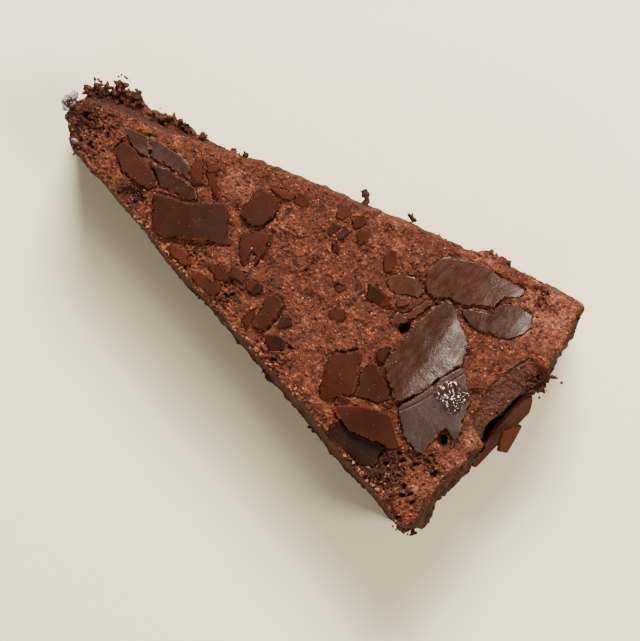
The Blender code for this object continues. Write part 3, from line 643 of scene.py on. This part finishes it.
# Gaps on the shadowed sides of plates, dug in and darkened with painted shade
GAPS = [
    [(-10.2, 11.0), (-9.8, 7.4), (-10.5, 4.2)], [(-8.1, 4.9), (-7.0, 2.4), (-6.5, -0.6), (-6.8, -3.2)],
    [(18.7, -8.5), (20.4, -7.4), (21.9, -5.6)], [(-46.6, 2.4), (-46.9, 0.4), (-46.4, -1.4)],
    [(-34.2, -3.0), (-31.6, -2.0), (-28.4, -1.0)], [(3.7, -7.6), (3.8, -11.0), (3.1, -13.9)],
]
LIGHTER = [(-20, 10, 4), (52, 25, 11), (33, 27, 6), (55, -14, 4.5), (52, -21, 5), (54, -7, 3.5)]


# Loose grains
KNOBS = 0.6  # how far a lump's points stand in or out, as a share of its radius


class Grains:
    """Many small broken lumps in one mesh, with a tint for each."""

    def __init__(self, seed):
        self.rng = random.Random(seed)
        self.count = 0
        self.verts = []
        self.faces = []
        self.tints = []
        self.shapes = [self.shape(1), self.shape(2)]

    @staticmethod
    def shape(subdivisions):
        bm = bmesh.new()
        bmesh.ops.create_icosphere(bm, subdivisions=subdivisions, radius=1.0)
        bm.verts.index_update()
        verts = np.array([tuple(v.co) for v in bm.verts])
        faces = np.array([[v.index for v in f.verts] for f in bm.faces])
        bm.free()
        return verts, faces

    def add(self, at, radius, tint, detail):
        """A knobbly lump, turned and stretched at random."""
        verts, faces = self.shapes[detail]
        rng = self.rng
        turn = np.array(Matrix.Rotation(rng.uniform(0, math.tau), 3, Vector(
            (rng.uniform(-1, 1), rng.uniform(-1, 1), rng.uniform(-1, 1) + 0.01)).normalized()))
        knobs = np.array([rng.uniform(1 - KNOBS, 1 + KNOBS) for _ in verts])
        stretch = np.array([rng.uniform(0.7, 1.5), rng.uniform(0.7, 1.2), rng.uniform(0.5, 1.0)])
        made = (verts * knobs[:, None] * stretch) @ turn.T * radius + np.array(at)
        self.faces.append(faces + self.count)
        self.count += len(verts)
        self.verts.append(made)
        self.tints.append(np.full(len(verts), tint))

    def mesh(self, name):
        mesh = bpy.data.meshes.new(name)
        co = inside_box(np.concatenate(self.verts))
        mesh.from_pydata(co.tolist(), [], np.concatenate(self.faces).tolist())
        return mesh

    def build(self, name):
        mesh = self.mesh(name)
        mark(mesh, "tint", np.concatenate(self.tints))
        return link(name, mesh)

    def grown_together(self, name, voxel):
        """The lumps merged into torn crumb, with its own fine relief."""
        obj = remeshed(self.mesh(name + "_raw"), name, voxel)
        co = places_of(obj.data)
        normals = normals_of(obj.data)
        rough = field(rough_noise, co, 0.9 * MM) * 0.11 + field(soft_noise, co, 0.45 * MM) * 0.10
        place(obj.data, inside_box(co + normals * (rough * MM)[:, None]))
        # The tint follows the relief in part: raised crumb lighter and hollows darker, as painted light and
        # shade.
        mark(obj.data, "tint", np.clip(0.35 + field(soft_noise, co, 2.5 * MM) * 0.5 + rough, 0, 1))
        obj.data.shade_smooth()
        return obj


def drop(tree, x, y):
    """Where a point in the slice's frame meets the surface from above, and its normal."""
    p = point(x, y)
    return tree.ray_cast(Vector((p.x, p.y, 0.1)), Vector((0, 0, -1)))[:2]


def add_loose_grains(rng, surface, everything):
    """Loose grains over the top and along its lower edge, few of them on the plates and the slump."""
    made = Grains(SEED + 2)
    placed = 0
    while placed < LOOSE_GRAINS:
        x = rng.uniform(-60, 58)
        y = rng.uniform(-30, 32)
        hit, normal = drop(surface, x, y)
        over, _ = drop(everything, x, y)
        if not hit or hit.z < 24 * MM or normal.z < 0.4:
            continue
        covered = over.z > hit.z + 0.1 * MM
        on_slump = 52 < x and -5 < y < 14
        if (covered or on_slump) and rng.random() > (0.02 if covered else 0.25):
            continue
        radius = rng.uniform(0.08, 0.20) * (0.5 if covered else 1.0) * MM
        if rng.random() < 0.04 and not covered:
            radius *= 1.8
        made.add(over + Vector((0, 0, radius * 0.1)), radius, rng.random() ** 2.0, 0)
        placed += 1
    for start, end in zip(LOWER_EDGE[1:], LOWER_EDGE[2:]):
        for _ in range(LIT_GRAINS):
            x, y = Vector(start).lerp(end, rng.random()) + Vector((0, abs(rng.gauss(0, 0.8))))
            hit, _ = drop(surface, x, y)
            if hit and hit.z > 26 * MM:
                made.add(hit, rng.uniform(0.14, 0.36) * MM, rng.uniform(0.3, 1.0), 1)
    grains = made.build("loose_grains")
    return grains


def add_edge_crumbs(rng, surface):
    """The crumbs that cling along the edges and the sides, and the torn crumb on the ledge."""
    made = Grains(SEED + 3)
    for number, towards, reach, heights, radii in CRUMB_ROWS:
        step = Vector((*towards, 0.0))
        for _ in range(number):
            along = rng.uniform(*reach)
            start = point(along * abs(towards[1]), along * abs(towards[0]), rng.uniform(*heights))
            hit = surface.ray_cast(start - step * 0.1, step)[0]
            if not hit:
                continue
            radius = rng.uniform(*radii) ** 1.3 * MM
            made.add(hit - step * radius * 0.1, radius, 0.3, 1)
            for _ in range(3):
                off = Vector([rng.gauss(0, 0.7) for _ in range(3)]) * radius
                made.add(hit + off, radius * rng.uniform(0.4, 0.7), 0.3, 1)
    for x, y, z, radius in EDGE_CRUMBS:
        at = point(x, y, z)
        for _ in range(round(7 + radius * 10)):
            off = Vector([rng.gauss(0, 0.62) for _ in range(3)]) * radius * MM
            off.z *= 1.2
            made.add(at + off, rng.uniform(0.25, 0.46) * (0.5 + 0.4 * radius) * MM, 0.3, 1)
        for _ in range(3):
            off = Vector([rng.gauss(0, 0.5) for _ in range(3)]) * radius * MM
            made.add(at + off - Vector((0, 0, radius * MM)), radius * 0.5 * MM, 0.3, 1)
    crumbs = made.grown_together("edge_crumbs", EDGE_CRUMB_VOXEL)
    return crumbs


def add_sugared_lumps(rng, everything):
    """The sugared lumps at the tip, and a few white specks elsewhere: painted highlights on the slump,
    sugared specks at the others.
    """
    made = Grains(SEED + 4)
    for x, y, z, radius in SUGAR:
        at = point(x, y, z)
        for _ in range(round(60 * radius)):
            off = Vector([rng.gauss(0, 1) for _ in range(3)]).normalized() * radius * MM
            made.add(at + off * rng.uniform(0.1, 0.75), rng.uniform(0.3, 0.5) * radius * MM, 0.5, 1)
    for x, y in GLINTS:
        made.add(drop(everything, x, y)[0], 0.15 * MM, 1.0, 1)
    sugar_and_painted_glints = made.grown_together("sugared_lumps_and_glints", SUGAR_VOXEL)
    return sugar_and_painted_glints


EDGE_CRUMB_VOXEL = 0.24 * MM
SUGAR_VOXEL = 0.15 * MM

# How many grains lie loose on the top, and along each stretch of its lower edge
LOOSE_GRAINS = 2900
LIT_GRAINS = 40

# Crumbs along the edges: how many, from which side, range along it, heights and radii
CRUMB_ROWS = (
    (90, (0, 1), (-58.0, 54.0), (0.3, 2.4), (0.2, 0.6)),
    (60, (0, 1), (-56.0, 52.0), (28.5, 31.3), (0.15, 0.32)),
    (90, (0, -1), (-30.0, 56.0), (27.5, 31.4), (0.15, 0.4)),
    (150, (0, -1), (-60.0, -32.0), (14.0, 20.5), (0.3, 0.9)),
    (40, (0, -1), (-60.0, 56.0), (0.3, 12.0), (0.2, 0.5)),
    (150, (-1, 0), (-30.0, 29.0), (3.0, 30.0), (0.2, 0.55)),
    (30, (1, 0), (-6.0, 8.0), (3.0, 31.0), (0.2, 0.7)),
)

# Larger torn lumps of crumb: place and radius
EDGE_CRUMBS = [
    (-59.8, 8.9, 21.5, 1.3), (-60.8, 7.1, 22.0, 0.9), (-58.4, 8.0, 21.0, 1.7), (-57.8, 10.3, 21.5, 0.7),
    (-55.0, 12.6, 22.0, 1.6), (-55.3, 10.2, 21.0, 1.3), (-53.4, 11.0, 21.0, 1.5), (-54.7, 8.6, 20.0, 1.5),
    (-51.9, 9.0, 20.0, 1.3), (-52.1, 12.5, 21.5, 1.0), (-50.6, 12.0, 21.0, 1.2), (-52.2, 10.4, 20.5, 1.6),
    (-50.4, 9.5, 20.0, 1.5), (-48.2, 11.0, 20.5, 0.9), (-46.9, 10.3, 20.0, 1.1), (-45.5, 10.8, 20.0, 1.1),
    (-44.0, 11.0, 20.0, 1.1), (-42.8, 12.5, 20.5, 0.9), (-41.7, 13.0, 20.5, 0.9), (-39.7, 13.8, 21.0, 0.4),
    (-39.9, 13.4, 20.6, 0.5), (-41.4, 11.5, 20.0, 1.1), (-40.0, 12.2, 20.0, 1.1), (-37.9, 12.9, 20.0, 0.9),
    (-35.8, 13.0, 20.5, 0.8), (-33.6, 13.6, 20.5, 0.8), (-25.4, 14.6, 29.0, 0.8), (-22.9, 15.4, 29.5, 0.7),
    (3.3, 23.9, 30.0, 0.6), (3.8, 23.6, 29.6, 0.5), (4.3, 23.3, 30.0, 0.7), (5.3, 22.6, 30.0, 0.6),
    (4.6, 21.9, 29.5, 0.6), (14.8, 25.4, 30.0, 0.5), (16.1, 25.2, 30.0, 0.4), (34.0, 29.0, 30.3, 0.7),
    (35.5, 28.7, 30.6, 0.8), (37.2, 28.6, 30.6, 0.9), (38.6, 29.3, 30.0, 0.7), (48.2, 30.3, 30.0, 0.6),
    (56.2, -25.0, 20.0, 1.0), (54.3, -32.6, 20.0, 1.1), (52.8, -32.2, 28.0, 0.9), (52.8, -29.9, 30.2, 0.7),
    (56.0, -31.4, 22.0, 0.9), (57.4, -27.8, 9.0, 1.0), (60.3, 13.8, 26.5, 1.2), (60.5, 11.0, 26.8, 1.1),
    (59.0, 9.4, 28.0, 0.7), (58.6, 14.6, 28.5, 0.9),
]

# Sugared lumps, with a place and a radius, and white specks: the first eight, on the slump, are painted
# highlights, the others sugared specks
SUGAR = [(-61.4, 2.6, 31.0, 1.5), (-61.1, 4.1, 31.0, 1.1), (-61.0, 1.2, 31.0, 1.0), (-55.2, -3.9, 31.3, 0.7)]
GLINTS = [(53.1, 0.3), (54.0, 1.4), (52.6, -1.2), (55.2, 3.4), (56.0, 4.6), (53.9, -2.6), (51.8, 1.6),
          (55.0, 0.2), (-9.6, -0.6), (21.7, -10.6), (-20.6, 8.6), (44.0, 17.0), (12.4, 6.1), (-3.0, 8.8)]


# Materials
VECTOR = "NodeSocketVector"
FLOAT = "NodeSocketFloat"
COLOUR = "NodeSocketColor"

DUST_COLOUR = linear(160, 110, 84)
# Painted shade in the crust's small bubbles
BUBBLE_SHADE = linear(28, 9, 4)
WET_ROUGHNESS = 0.16

# The crumb's browns: on the top, where that is paler or darker, torn open, and cut
# The darker and shaded browns are partly painted shade; the top's and the torn crumb's dark browns paint
# shade into gaps and pores, and the last, darkest brown is painted shade in pores and cracks.
TOP_DARK = linear(33, 12, 5)
TOP_MIDDLE = linear(76, 34, 16)
TOP_LIGHT = linear(148, 88, 58)
PALER_MIDDLE = linear(104, 58, 39)
PALER_LIGHT = linear(178, 118, 91)
DARKER_MIDDLE = linear(46, 18, 8)
DARKER_LIGHT = linear(104, 54, 32)
SHADED = linear(40, 14, 5)
TORN_DARK = linear(20, 6, 2)
TORN_MIDDLE = linear(58, 22, 9)
TORN_LIGHT = linear(122, 62, 33)
CUT_DARK = linear(44, 20, 9)
CUT_LIGHT = linear(78, 40, 21)
SLUMP_BROWN = linear(50, 21, 9)
PIT_SHADE = linear(24, 7, 2)

# Each crust's darkest, lightest and broken browns, its range of roughness and its specular level; the broken
# brown, on the rims, is partly painted highlight
CRUSTS = {
    "dry_crust": ((22, 6, 1), (66, 26, 9), (104, 48, 22), (0.5, 0.6), 0.1),
    "satin_crust": ((26, 9, 3), (62, 29, 15), (100, 48, 25), (0.22, 0.42), 0.30),
    "matte_crust": ((28, 10, 5), (78, 40, 27), (96, 48, 28), (0.75, 0.85), 0.06),
    "moist_crust": ((24, 9, 5), (48, 25, 17), (104, 46, 24), (0.38, 0.54), 0.36),
}

# Which plates aren't of the dry crust
PLATE_CRUSTS = {
    "moist_crust": ("glossy_plate", "tip_long", "tip_long_end"),
    "satin_crust": ("upper_plate", "corner_plate", "main_plate", "ribbed_oval", "long_strip", "tip_middle"),
    "matte_crust": ("side_sheet", "side_splinter"),
}

# The darkest and lightest colours of the loose pieces, and their specular level
GRAINS = {
    "grains": ((80, 36, 18), (184, 116, 80), 0.2),
    "crumbs": ((22, 7, 3), (108, 52, 27), 0.2),
    "sugar_and_painted_glints": ((48, 38, 37), (236, 230, 226), 0.3),
}


class Shader:
    """Adds and links the nodes of one tree."""

    def __init__(self, tree):
        self.tree = tree

    def add(self, kind, **settings):
        node = self.tree.nodes.new(kind)
        for name, value in settings.items():
            setattr(node, name, value)
        return node

    def put(self, value, socket):
        """Links an output to a socket, or sets the socket to a plain value."""
        if isinstance(value, bpy.types.NodeSocket):
            self.tree.links.new(value, socket)
        else:
            socket.default_value = value

    def attribute(self, name):
        return self.add("ShaderNodeAttribute", attribute_type="GEOMETRY", attribute_name=name).outputs["Fac"]

    def noise(self, where, size, detail=3.0, rough=0.5):
        node = self.add("ShaderNodeTexNoise")
        self.put(where, node.inputs["Vector"])
        node.inputs["Scale"].default_value = 1 / size
        node.inputs["Detail"].default_value = detail
        node.inputs["Roughness"].default_value = rough
        return node.outputs["Fac"]

    def cells(self, where, size, feature="F1"):
        node = self.add("ShaderNodeTexVoronoi", feature=feature)
        self.put(where, node.inputs["Vector"])
        node.inputs["Scale"].default_value = 1 / size
        return node

    def ramp(self, value, low, high, to_low=0.0, to_high=1.0):
        node = self.add("ShaderNodeMapRange")
        self.put(value, node.inputs["Value"])
        for label, end in (("From Min", low), ("From Max", high), ("To Min", to_low), ("To Max", to_high)):
            self.put(end, node.inputs[label])
        return node.outputs["Result"]

    def mix(self, share, a, b):
        node = self.add("ShaderNodeMix", data_type="RGBA")
        self.put(share, node.inputs["Factor"])
        self.put(a, node.inputs["A"])
        self.put(b, node.inputs["B"])
        return node.outputs["Result"]

    def math(self, kind, a, b=0.0):
        node = self.add("ShaderNodeMath", operation=kind)
        self.put(a, node.inputs[0])
        self.put(b, node.inputs[1])
        return node.outputs[0]


def new_material(name):
    made = bpy.data.materials.new(name)
    made.use_nodes = True
    shader = Shader(made.node_tree)
    where = shader.add("ShaderNodeTexCoord").outputs["Object"]
    return made, shader, made.node_tree.nodes["Principled BSDF"], where


def bump(shader, height, distance, onto=None, strength=1.0):
    node = shader.add("ShaderNodeBump")
    node.inputs["Strength"].default_value = strength
    node.inputs["Distance"].default_value = distance
    shader.put(height, node.inputs["Height"])
    if onto:
        shader.put(onto, node.inputs["Normal"])
    return node.outputs["Normal"]


def new_group(name, inputs, outputs):
    """An empty node group with named sockets, given as its tree, a Shader for it and its two ends."""
    tree = bpy.data.node_groups.new(name, "ShaderNodeTree")
    for in_out, sockets in (("INPUT", inputs), ("OUTPUT", outputs)):
        for label, kind in sockets.items():
            tree.interface.new_socket(label, in_out=in_out, socket_type=kind)
    shader = Shader(tree)
    return tree, shader, shader.add("NodeGroupInput").outputs, shader.add("NodeGroupOutput").inputs


def grain_group():
    """Colour and relief of fine crumb: a web of light tips, dark gaps and pores, and the brown between; as
    the colour follows the bump's relief, the light tips are partly painted highlight and the dark gaps and
    pores painted shade.
    """
    inputs = {"Vector": VECTOR, "Porous": FLOAT, "Relief": FLOAT, "Dark": COLOUR, "Middle": COLOUR,
              "Light": COLOUR}
    tree, shader, given, out = new_group("fine_grain", inputs, {"Color": COLOUR, "Height": FLOAT})
    where = given["Vector"]
    fine = shader.noise(where, 0.34 * MM, 3.0, 0.6)
    medium = shader.noise(where, 1.0 * MM, 3.0, 0.6)
    broad = shader.noise(where, 2.6 * MM, 3.0, 0.55)
    line = shader.math("ABSOLUTE", shader.math("SUBTRACT", shader.noise(where, 0.75 * MM, 2.0, 0.6), 0.5))
    web = shader.ramp(line, 0.07, 0.0)
    mixed = shader.math("ADD", shader.math("MULTIPLY", fine, 0.36), shader.math("MULTIPLY", medium, 0.32))
    mixed = shader.math("ADD", mixed, shader.math("MULTIPLY", broad, 0.20))
    mixed = shader.math("ADD", mixed, shader.math("MULTIPLY", web, 0.05))
    raised = shader.math("ADD", mixed, shader.math("MULTIPLY", given["Relief"], 0.14))
    dark = shader.ramp(raised, 0.52, 0.43)
    light = shader.ramp(raised, 0.56, 0.68)
    tone = shader.mix(light, given["Middle"], given["Light"])
    tone = shader.mix(dark, tone, given["Dark"])
    # Pores, and wider holes where the crumb is porous, take the dark colour: painted shade in them.
    pores = shader.cells(where, 1.3 * MM)
    hole = shader.math("MULTIPLY", shader.ramp(pores.outputs["Distance"], 0.22, 0.12),
                       shader.ramp(medium, 0.52, 0.44))
    wide = shader.math("MULTIPLY", shader.ramp(pores.outputs["Distance"], 0.38, 0.25),
                       shader.math("MULTIPLY", shader.ramp(broad, 0.58, 0.46), given["Porous"]))
    hole = shader.math("MAXIMUM", hole, wide)
    shader.put(shader.mix(hole, tone, given["Dark"]), out["Color"])
    shader.put(shader.math("SUBTRACT", mixed, shader.math("MULTIPLY", hole, 0.12)), out["Height"])
    return tree


def crust_group():
    """Crust of broken plates: mottled, with dust, small bubbles darkened with painted shade, a paler ragged
    rim that is partly painted highlight, and a smeared sheen.
    """
    inputs = {"Vector": VECTOR, "Tone": FLOAT, "Rim": FLOAT, "Wet": FLOAT, "Dark": COLOUR, "Light": COLOUR,
              "Broken": COLOUR, "Smoothest": FLOAT, "Roughest": FLOAT}
    outputs = {"Color": COLOUR, "Roughness": FLOAT, "Normal": VECTOR}
    tree, shader, given, out = new_group("broken_crust", inputs, outputs)
    where, tone, rim, wet = given["Vector"], given["Tone"], given["Rim"], given["Wet"]
    broad = shader.noise(where, 4 * MM, 3.0, 0.55)
    fine = shader.noise(where, 0.5 * MM, 3.0, 0.6)
    base = shader.mix(shader.ramp(tone, 0.0, 1.0), given["Dark"], given["Light"])
    mottle = shader.math("MULTIPLY", shader.ramp(broad, 0.4, 0.75, 0.0, 0.4), shader.ramp(tone, 0.0, 0.5))
    base = shader.mix(mottle, base, given["Light"])
    base = shader.mix(shader.ramp(fine, 0.3, 0.5, 0.3, 0.0), base, given["Dark"])
    specks = shader.cells(where, 1.5 * MM)
    dust = shader.ramp(specks.outputs["Distance"], 0.09, 0.04)
    base = shader.mix(shader.math("MULTIPLY", dust, 0.35), base, DUST_COLOUR)
    # Small bubbles: dents darkened with painted shade
    bubbles = shader.cells(where, 3.4 * MM)
    hole = shader.ramp(bubbles.outputs["Distance"], 0.10, 0.05)
    base = shader.mix(shader.math("MULTIPLY", hole, 0.5), base, BUBBLE_SHADE)
    # The rim's lighter brown is partly painted highlight along lit edges.
    ragged = shader.math("MULTIPLY", rim, shader.ramp(fine, 0.35, 0.6))
    shader.put(shader.mix(ragged, base, given["Broken"]), out["Color"])

    streaks = shader.add("ShaderNodeMapping", vector_type="POINT")
    shader.put(where, streaks.inputs["Vector"])
    streaks.inputs["Rotation"].default_value = (0, 0, math.radians(-20))
    streaks.inputs["Scale"].default_value = (2.4, 1.0, 1.0)
    smear = shader.noise(streaks.outputs["Vector"], 3.0 * MM, 4.0, 0.6)
    rough = shader.ramp(smear, 0.35, 0.65, given["Smoothest"], given["Roughest"])
    rough = shader.math("ADD", rough, shader.math("MULTIPLY", rim, 0.3))
    dry_part = shader.math("MULTIPLY", shader.ramp(wet, 0.0, 1.0, 1.0, 0.0), rough)
    wet_part = shader.math("MULTIPLY", wet, WET_ROUGHNESS)
    shader.put(shader.math("ADD", dry_part, wet_part), out["Roughness"])
    low = bump(shader, broad, 0.30 * MM, strength=0.4)
    low = bump(shader, hole, -0.12 * MM, onto=low, strength=0.8)
    shader.put(bump(shader, fine, 0.05 * MM, onto=low, strength=0.7), out["Normal"])
    return tree


def use_group(shader, group, **values):
    node = shader.add("ShaderNodeGroup", node_tree=group)
    for label, value in values.items():
        shader.put(value, node.inputs[label])
    return node


def crumb_material(grain):
    made, shader, bsdf, where = new_material("crumb")
    height = shader.attribute("height")
    porous = shader.attribute("porous")
    shade = shader.attribute("shade")
    # Above 0 the shade mark darkens the crumb and turns it towards the shaded brown, which is partly painted
    # shade; below 0 it makes the crumb paler.
    paler = shader.ramp(shade, 0.0, -1.0)
    darker = shader.ramp(shade, 0.0, 1.0)
    middle = shader.mix(darker, shader.mix(paler, TOP_MIDDLE, PALER_MIDDLE), DARKER_MIDDLE)
    light = shader.mix(darker, shader.mix(paler, TOP_LIGHT, PALER_LIGHT), DARKER_LIGHT)
    top = use_group(shader, grain, Vector=where, Dark=TOP_DARK, Middle=middle, Light=light, Relief=height,
                    Porous=porous)
    inner = use_group(shader, grain, Vector=where, Dark=TORN_DARK, Middle=TORN_MIDDLE, Light=TORN_LIGHT,
                      Relief=height, Porous=porous)
    colour = shader.mix(shader.attribute("top"), inner.outputs["Color"], top.outputs["Color"])
    streak = shader.noise(where, 2.2 * MM, 2.0, 0.5)
    cut_colour = shader.mix(streak, CUT_DARK, CUT_LIGHT)
    colour = shader.mix(shader.math("MULTIPLY", shader.attribute("cut"), 0.5), colour, cut_colour)
    colour = shader.mix(shader.math("MULTIPLY", darker, 0.5), colour, SHADED)
    slab = shader.attribute("slab")
    colour = shader.mix(shader.math("MULTIPLY", slab, 0.7), colour, SLUMP_BROWN)
    # Painted shade in the pores and cracks.
    colour = shader.mix(shader.math("MULTIPLY", shader.attribute("pit_shade"), 0.8), colour, PIT_SHADE)
    shader.put(colour, bsdf.inputs["Base Color"])
    shader.put(shader.ramp(slab, 0.0, 1.0, 0.8, 0.36), bsdf.inputs["Roughness"])
    bsdf.inputs["Specular IOR Level"].default_value = 0.2
    shader.put(bump(shader, top.outputs["Height"], 0.38 * MM), bsdf.inputs["Normal"])
    return made


def crust_material(name, crust):
    dark, light, broken, (smoothest, roughest), specular = CRUSTS[name]
    made, shader, bsdf, where = new_material(name)
    wet = shader.attribute("wet")
    skin = use_group(shader, crust, Vector=where, Tone=shader.attribute("tone"), Rim=shader.attribute("rim"),
                     Wet=wet, Dark=linear(*dark), Light=linear(*light), Broken=linear(*broken),
                     Smoothest=smoothest, Roughest=roughest)
    shader.put(skin.outputs["Color"], bsdf.inputs["Base Color"])
    shader.put(skin.outputs["Roughness"], bsdf.inputs["Roughness"])
    shader.put(skin.outputs["Normal"], bsdf.inputs["Normal"])
    bsdf.inputs["Specular IOR Level"].default_value = specular
    shader.put(wet, bsdf.inputs["Coat Weight"])
    bsdf.inputs["Coat Roughness"].default_value = 0.1
    return made


def grain_material(name, grain):
    dark, light, specular = GRAINS[name]
    made, shader, bsdf, where = new_material(name)
    body = shader.mix(shader.attribute("tint"), linear(*dark), linear(*light))
    deep = use_group(shader, grain, Vector=where, Dark=linear(*dark), Middle=body, Light=linear(*light),
                     Relief=0.4, Porous=0.0)
    shader.put(deep.outputs["Color"], bsdf.inputs["Base Color"])
    bsdf.inputs["Roughness"].default_value = 0.7
    bsdf.inputs["Specular IOR Level"].default_value = specular
    shader.put(bump(shader, deep.outputs["Height"], 0.3 * MM), bsdf.inputs["Normal"])
    return made


# Stage
FLOOR_SIZE = 6.0
FLOOR_PALE = linear(232, 219, 186)
FLOOR_PALER = linear(236, 224, 193)


def add_floor():
    bpy.ops.mesh.primitive_plane_add(size=FLOOR_SIZE)
    floor = bpy.context.object
    floor.name = "floor"
    made, shader, bsdf, where = new_material("pale_floor")
    tint = shader.noise(where, 0.3, 1.0, 0.4)
    shader.put(shader.mix(tint, FLOOR_PALE, FLOOR_PALER), bsdf.inputs["Base Color"])
    bsdf.inputs["Roughness"].default_value = 0.55
    floor.data.materials.append(made)


CAMERA_DISTANCE = 500 * MM  # above the crumb's top
PICTURE_WIDTH = 140.8 * MM  # at the level of the crumb's top
PICTURE_MIDDLE = (11.8, -4.9)
CAMERA_ROLL = 35.35
SENSOR_WIDTH = 36.0


def add_camera():
    camera = bpy.data.cameras.new("camera")
    camera.sensor_fit = "HORIZONTAL"
    camera.sensor_width = SENSOR_WIDTH
    camera.lens = SENSOR_WIDTH * CAMERA_DISTANCE / PICTURE_WIDTH
    camera.clip_start = 0.01
    seen = bpy.data.objects.new("camera", camera)
    seen.location = point(*PICTURE_MIDDLE, TOP) + Vector((0, 0, CAMERA_DISTANCE))
    seen.rotation_euler = (0, 0, math.radians(CAMERA_ROLL))
    bpy.context.scene.collection.objects.link(seen)
    bpy.context.scene.camera = seen


# Each light's azimuth, elevation and distance from the slice, its size, power and colour
LIGHTS = {
    "window": (118, 42, 0.9, (0.35, 0.3), 26.0, (1.0, 0.96, 0.90)),
    "side_window": (17, 54, 0.7, (0.16, 0.24), 4.4, (1.0, 0.87, 0.77)),
    "bounce": (-68, 28, 0.9, (0.6, 0.4), 2.6, (1.0, 0.93, 0.82)),
}
ROOM_COLOUR = (1.0, 0.97, 0.93, 1.0)
ROOM_STRENGTH = 0.28


def add_light(name, azimuth, elevation, distance, size, power, colour):
    """An area light that faces the slice's top, from a direction in the model's frame."""
    light = bpy.data.lights.new(name, "AREA")
    light.shape = "RECTANGLE"
    light.size, light.size_y = size
    light.energy = power
    light.color = colour
    a, e = math.radians(azimuth), math.radians(elevation)
    at = Vector((math.cos(e) * math.cos(a), math.cos(e) * math.sin(a), math.sin(e))) * distance
    lamp = bpy.data.objects.new(name, light)
    lamp.location = at + Vector((0, 0, TOP * MM))
    lamp.rotation_euler = (-at).to_track_quat("-Z", "Y").to_euler()
    bpy.context.scene.collection.objects.link(lamp)


def add_world():
    world = bpy.data.worlds.new("room")
    world.use_nodes = True
    background = world.node_tree.nodes["Background"]
    background.inputs["Color"].default_value = ROOM_COLOUR
    background.inputs["Strength"].default_value = ROOM_STRENGTH
    bpy.context.scene.world = world


def dress(plates, flakes, crumb, grains, crumbs, sugar_and_painted_glints):
    """Gives every piece its material and its body."""
    crust = crust_group()
    crusts = {name: crust_material(name, crust) for name in CRUSTS}
    looks = {"plate_" + plate: crusts[look] for look, names in PLATE_CRUSTS.items() for plate in names}
    for piece in plates + [flakes]:
        piece.data.materials.append(looks.get(piece.name, crusts["dry_crust"]))
    grain = grain_group()
    crumb.data.materials.append(crumb_material(grain))
    for piece, name in ((grains, "grains"), (crumbs, "crumbs"), (sugar_and_painted_glints, "sugar_and_painted_glints")):
        piece.data.materials.append(grain_material(name, grain))
    for piece in plates + [flakes, crumb, grains, crumbs, sugar_and_painted_glints]:
        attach(piece, "root")


def main():
    add_camera()
    plates = add_plates()
    flakes = add_flakes(tree_of([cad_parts["cake"]]))
    crumb = add_crumb(plates, tree_of(plates + [flakes]))
    surface = tree_of([crumb])
    everything = tree_of([crumb, flakes] + plates)
    rng = random.Random(SEED + 1)
    grains = add_loose_grains(rng, surface, everything)
    crumbs = add_edge_crumbs(rng, surface)
    sugar_and_painted_glints = add_sugared_lumps(rng, everything)
    dress(plates, flakes, crumb, grains, crumbs, sugar_and_painted_glints)
    add_floor()
    for name, values in LIGHTS.items():
        add_light(name, *values)
    add_world()


main()
